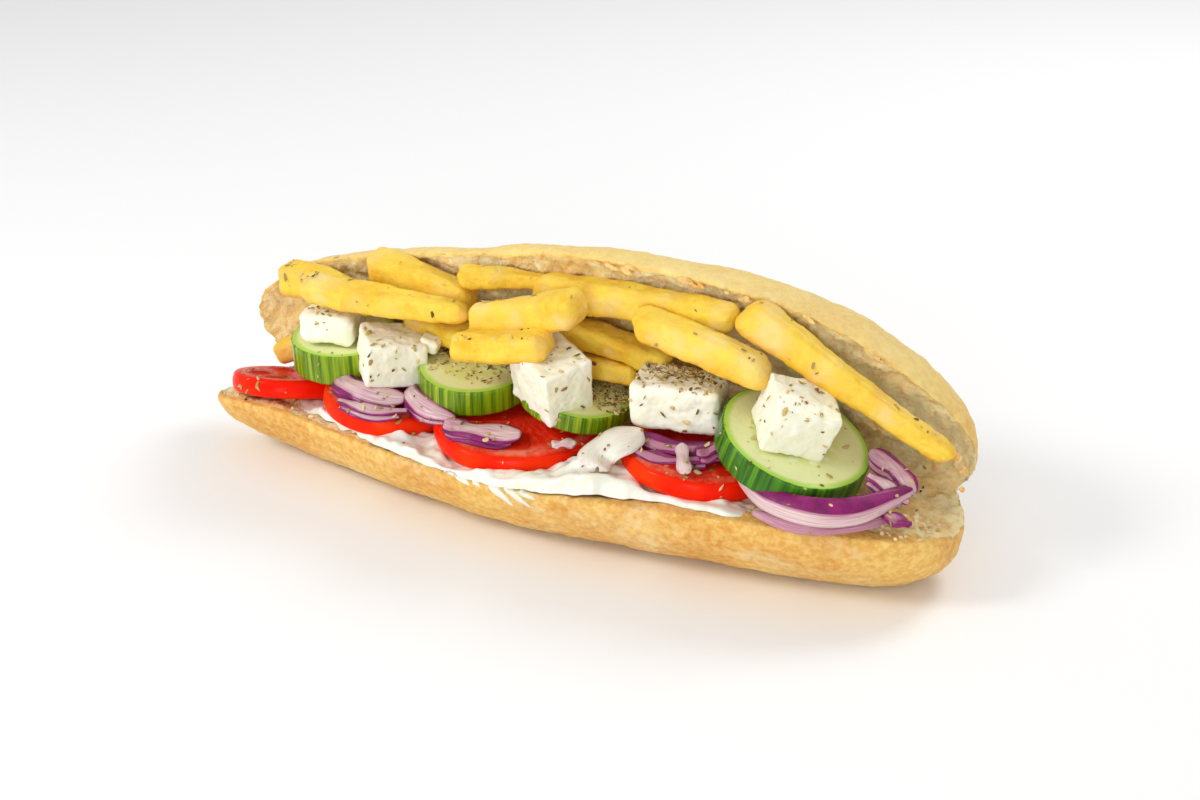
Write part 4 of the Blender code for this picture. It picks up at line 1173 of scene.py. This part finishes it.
print("bits and crumbs:", triangles(crust_bits), triangles(loose_crumbs), "triangles")

# %% [markdown]
# ## Dried oregano
# Broken leaf flakes, one to four millimetres long, lie wherever they fell: thick on the
# tops of two cucumber slices and one cheese block, loose over everything else. Rays are
# dropped on the finished pieces from above and from the front, and each hit takes one
# small crumpled flake. All flakes are one mesh, with a number on each for its colour.

# %% What the flakes fall on
def surface_of(objects):
    points = []
    faces = []
    owners = []
    for obj in objects:
        start = len(points)
        points.extend(v.co.copy() for v in obj.data.vertices)
        for polygon in obj.data.polygons:
            faces.append([start + i for i in polygon.vertices])
            owners.append(obj.name)
    return BVHTree.FromPolygons(points, faces), owners


surface, owners = surface_of(finished)
print("surface for the flakes:", len(owners), "faces")

# %% Flakes
oregano_paint, tree, shader, place = food_material("dried_oregano", Roughness=0.75, Specular_IOR_Level=0.3)
tint = read_attribute(tree, "tint")
leaf = blend_colour(tree, ramp(tree, tint, 0.05, 0.22), (0.14, 0.10, 0.02), (0.43, 0.31, 0.08))
leaf = blend_colour(tree, ramp(tree, tint, 0.30, 0.75), leaf, (0.74, 0.57, 0.26))
leaf = blend_colour(tree, ramp(tree, tint, 0.90, 0.93), leaf, (0.24, 0.07, 0.02))
tree.links.new(leaf, shader.inputs["Base Color"])

flake_points = []
flake_faces = []
flake_tints = []


def add_flake(spot, normal, length, dice):
    # A curled scrap of leaf: a ragged outline of six points round a raised middle
    turn = Matrix.Rotation(dice.uniform(0, math.tau), 3, "Z")
    tilt = normal.to_track_quat("Z", "Y").to_matrix()
    lean = Euler((dice.uniform(-0.4, 0.4), dice.uniform(-0.4, 0.4), 0)).to_matrix()
    frame_turn = tilt @ lean @ turn
    start = len(flake_points)
    slim = dice.uniform(0.25, 0.62)
    curl = dice.uniform(-0.25, 0.45)
    sides = 6
    for k in range(sides):
        a = math.tau * (k + dice.uniform(-0.3, 0.3)) / sides
        r = length / 2 * dice.uniform(0.7, 1.15)
        p = Vector((r * math.cos(a), slim * r * math.sin(a), 0))
        p.z = curl * p.x * p.x / length * 2 + dice.uniform(-0.05, 0.08) * length
        flake_points.append(spot + frame_turn @ p + normal * 0.2 * MM)
    flake_points.append(spot + frame_turn @ Vector((0, 0, 0.10 * length)) + normal * 0.3 * MM)
    flake_points.append(spot - normal * 0.10 * length)
    for k in range(sides):
        j = (k + 1) % sides
        flake_faces.append((start + k, start + j, start + sides))
        flake_faces.append((start + j, start + k, start + sides + 1))
    flake_tints.extend([dice.random()] * (sides + 2))


def drop_flakes(count, low, high, direction, dice, accept, size=(0.9, 2.6), top=50.0, height=0.16):
    # Drops flakes inside a box of x and y in mm; accept says which pieces take them
    made = 0
    for _ in range(count):
        x = dice.uniform(low[0], high[0]) * MM
        y = dice.uniform(low[1], high[1]) * MM
        start = Vector((x, y, top * MM)) - direction * height
        spot, normal, index, _ = surface.ray_cast(start, direction)
        if spot is None or normal.dot(direction) > -0.25:
            continue
        if not accept(owners[index], spot):
            continue
        add_flake(spot, normal, dice.triangular(size[0], size[1], size[0] * 1.2) * MM, dice)
        made += 1
    return made


dice = random.Random(23)
down = Vector((0.0, 0.05, -1.0)).normalized()
slanted = Vector((-0.25, 0.62, -0.74)).normalized()


def loose_share(owner, spot):
    share = 0.22
    if owner.startswith("feta"):
        share = 0.8
    if owner.startswith("bread"):
        share = 0.25 if spot.z < 0.040 and spot.x > 0.09 else 0.03
        if crumb_share(spot) < 0.5:
            share = 0.004
    if owner.startswith("tomato") or owner.startswith("onion"):
        share = 0.35
    if owner.startswith("sauce"):
        share = 0.05
    return dice.random() < share


loose = drop_flakes(900, (-134, -40), (134, 16), down, dice, loose_share, (0.8, 3.6))
clinging = drop_flakes(800, (-134, -44), (134, 14), slanted, dice, loose_share, (0.8, 3.8))
mats = 0
for low, high, top, count, names in (
    ((-48, 0), (-20, 19), 48.5, 420, "cucumber_2"),
    ((-46, -12), (-18, 0), 48.5, 70, "cucumber_2"),
    ((2, -8), (26, 18), 46.5, 520, "cucumber_3"),
    ((-6, -18), (10, -4), 46.5, 40, "cucumber_3"),
    ((31, -3), (58, 8), 58.5, 330, "feta_4"),
    ((30, -11), (58, -3), 58.5, 50, "feta_4"),
    ((-96, -12), (-76, 5), 61.0, 30, "feta_1"),
):
    mats += drop_flakes(count, low, high, down, dice,
                        lambda owner, spot: owner.startswith(names), (1.0, 3.0), top, 0.0)
print("flakes: loose", loose, "clinging", clinging, "mats", mats)

flake_mesh = bpy.data.meshes.new("oregano")
flake_mesh.from_pydata(flake_points, [], flake_faces)
tint_store = flake_mesh.attributes.new("tint", "FLOAT", "POINT")
for i, value in enumerate(flake_tints):
    tint_store.data[i].value = value
oregano = bpy.data.objects.new("oregano", flake_mesh)
bpy.context.scene.collection.objects.link(oregano)
finish_piece(oregano, "oregano_flakes", "bread_crust", oregano_paint)
only(oregano)
bpy.ops.object.shade_flat()
print("oregano:", triangles(oregano), "triangles")
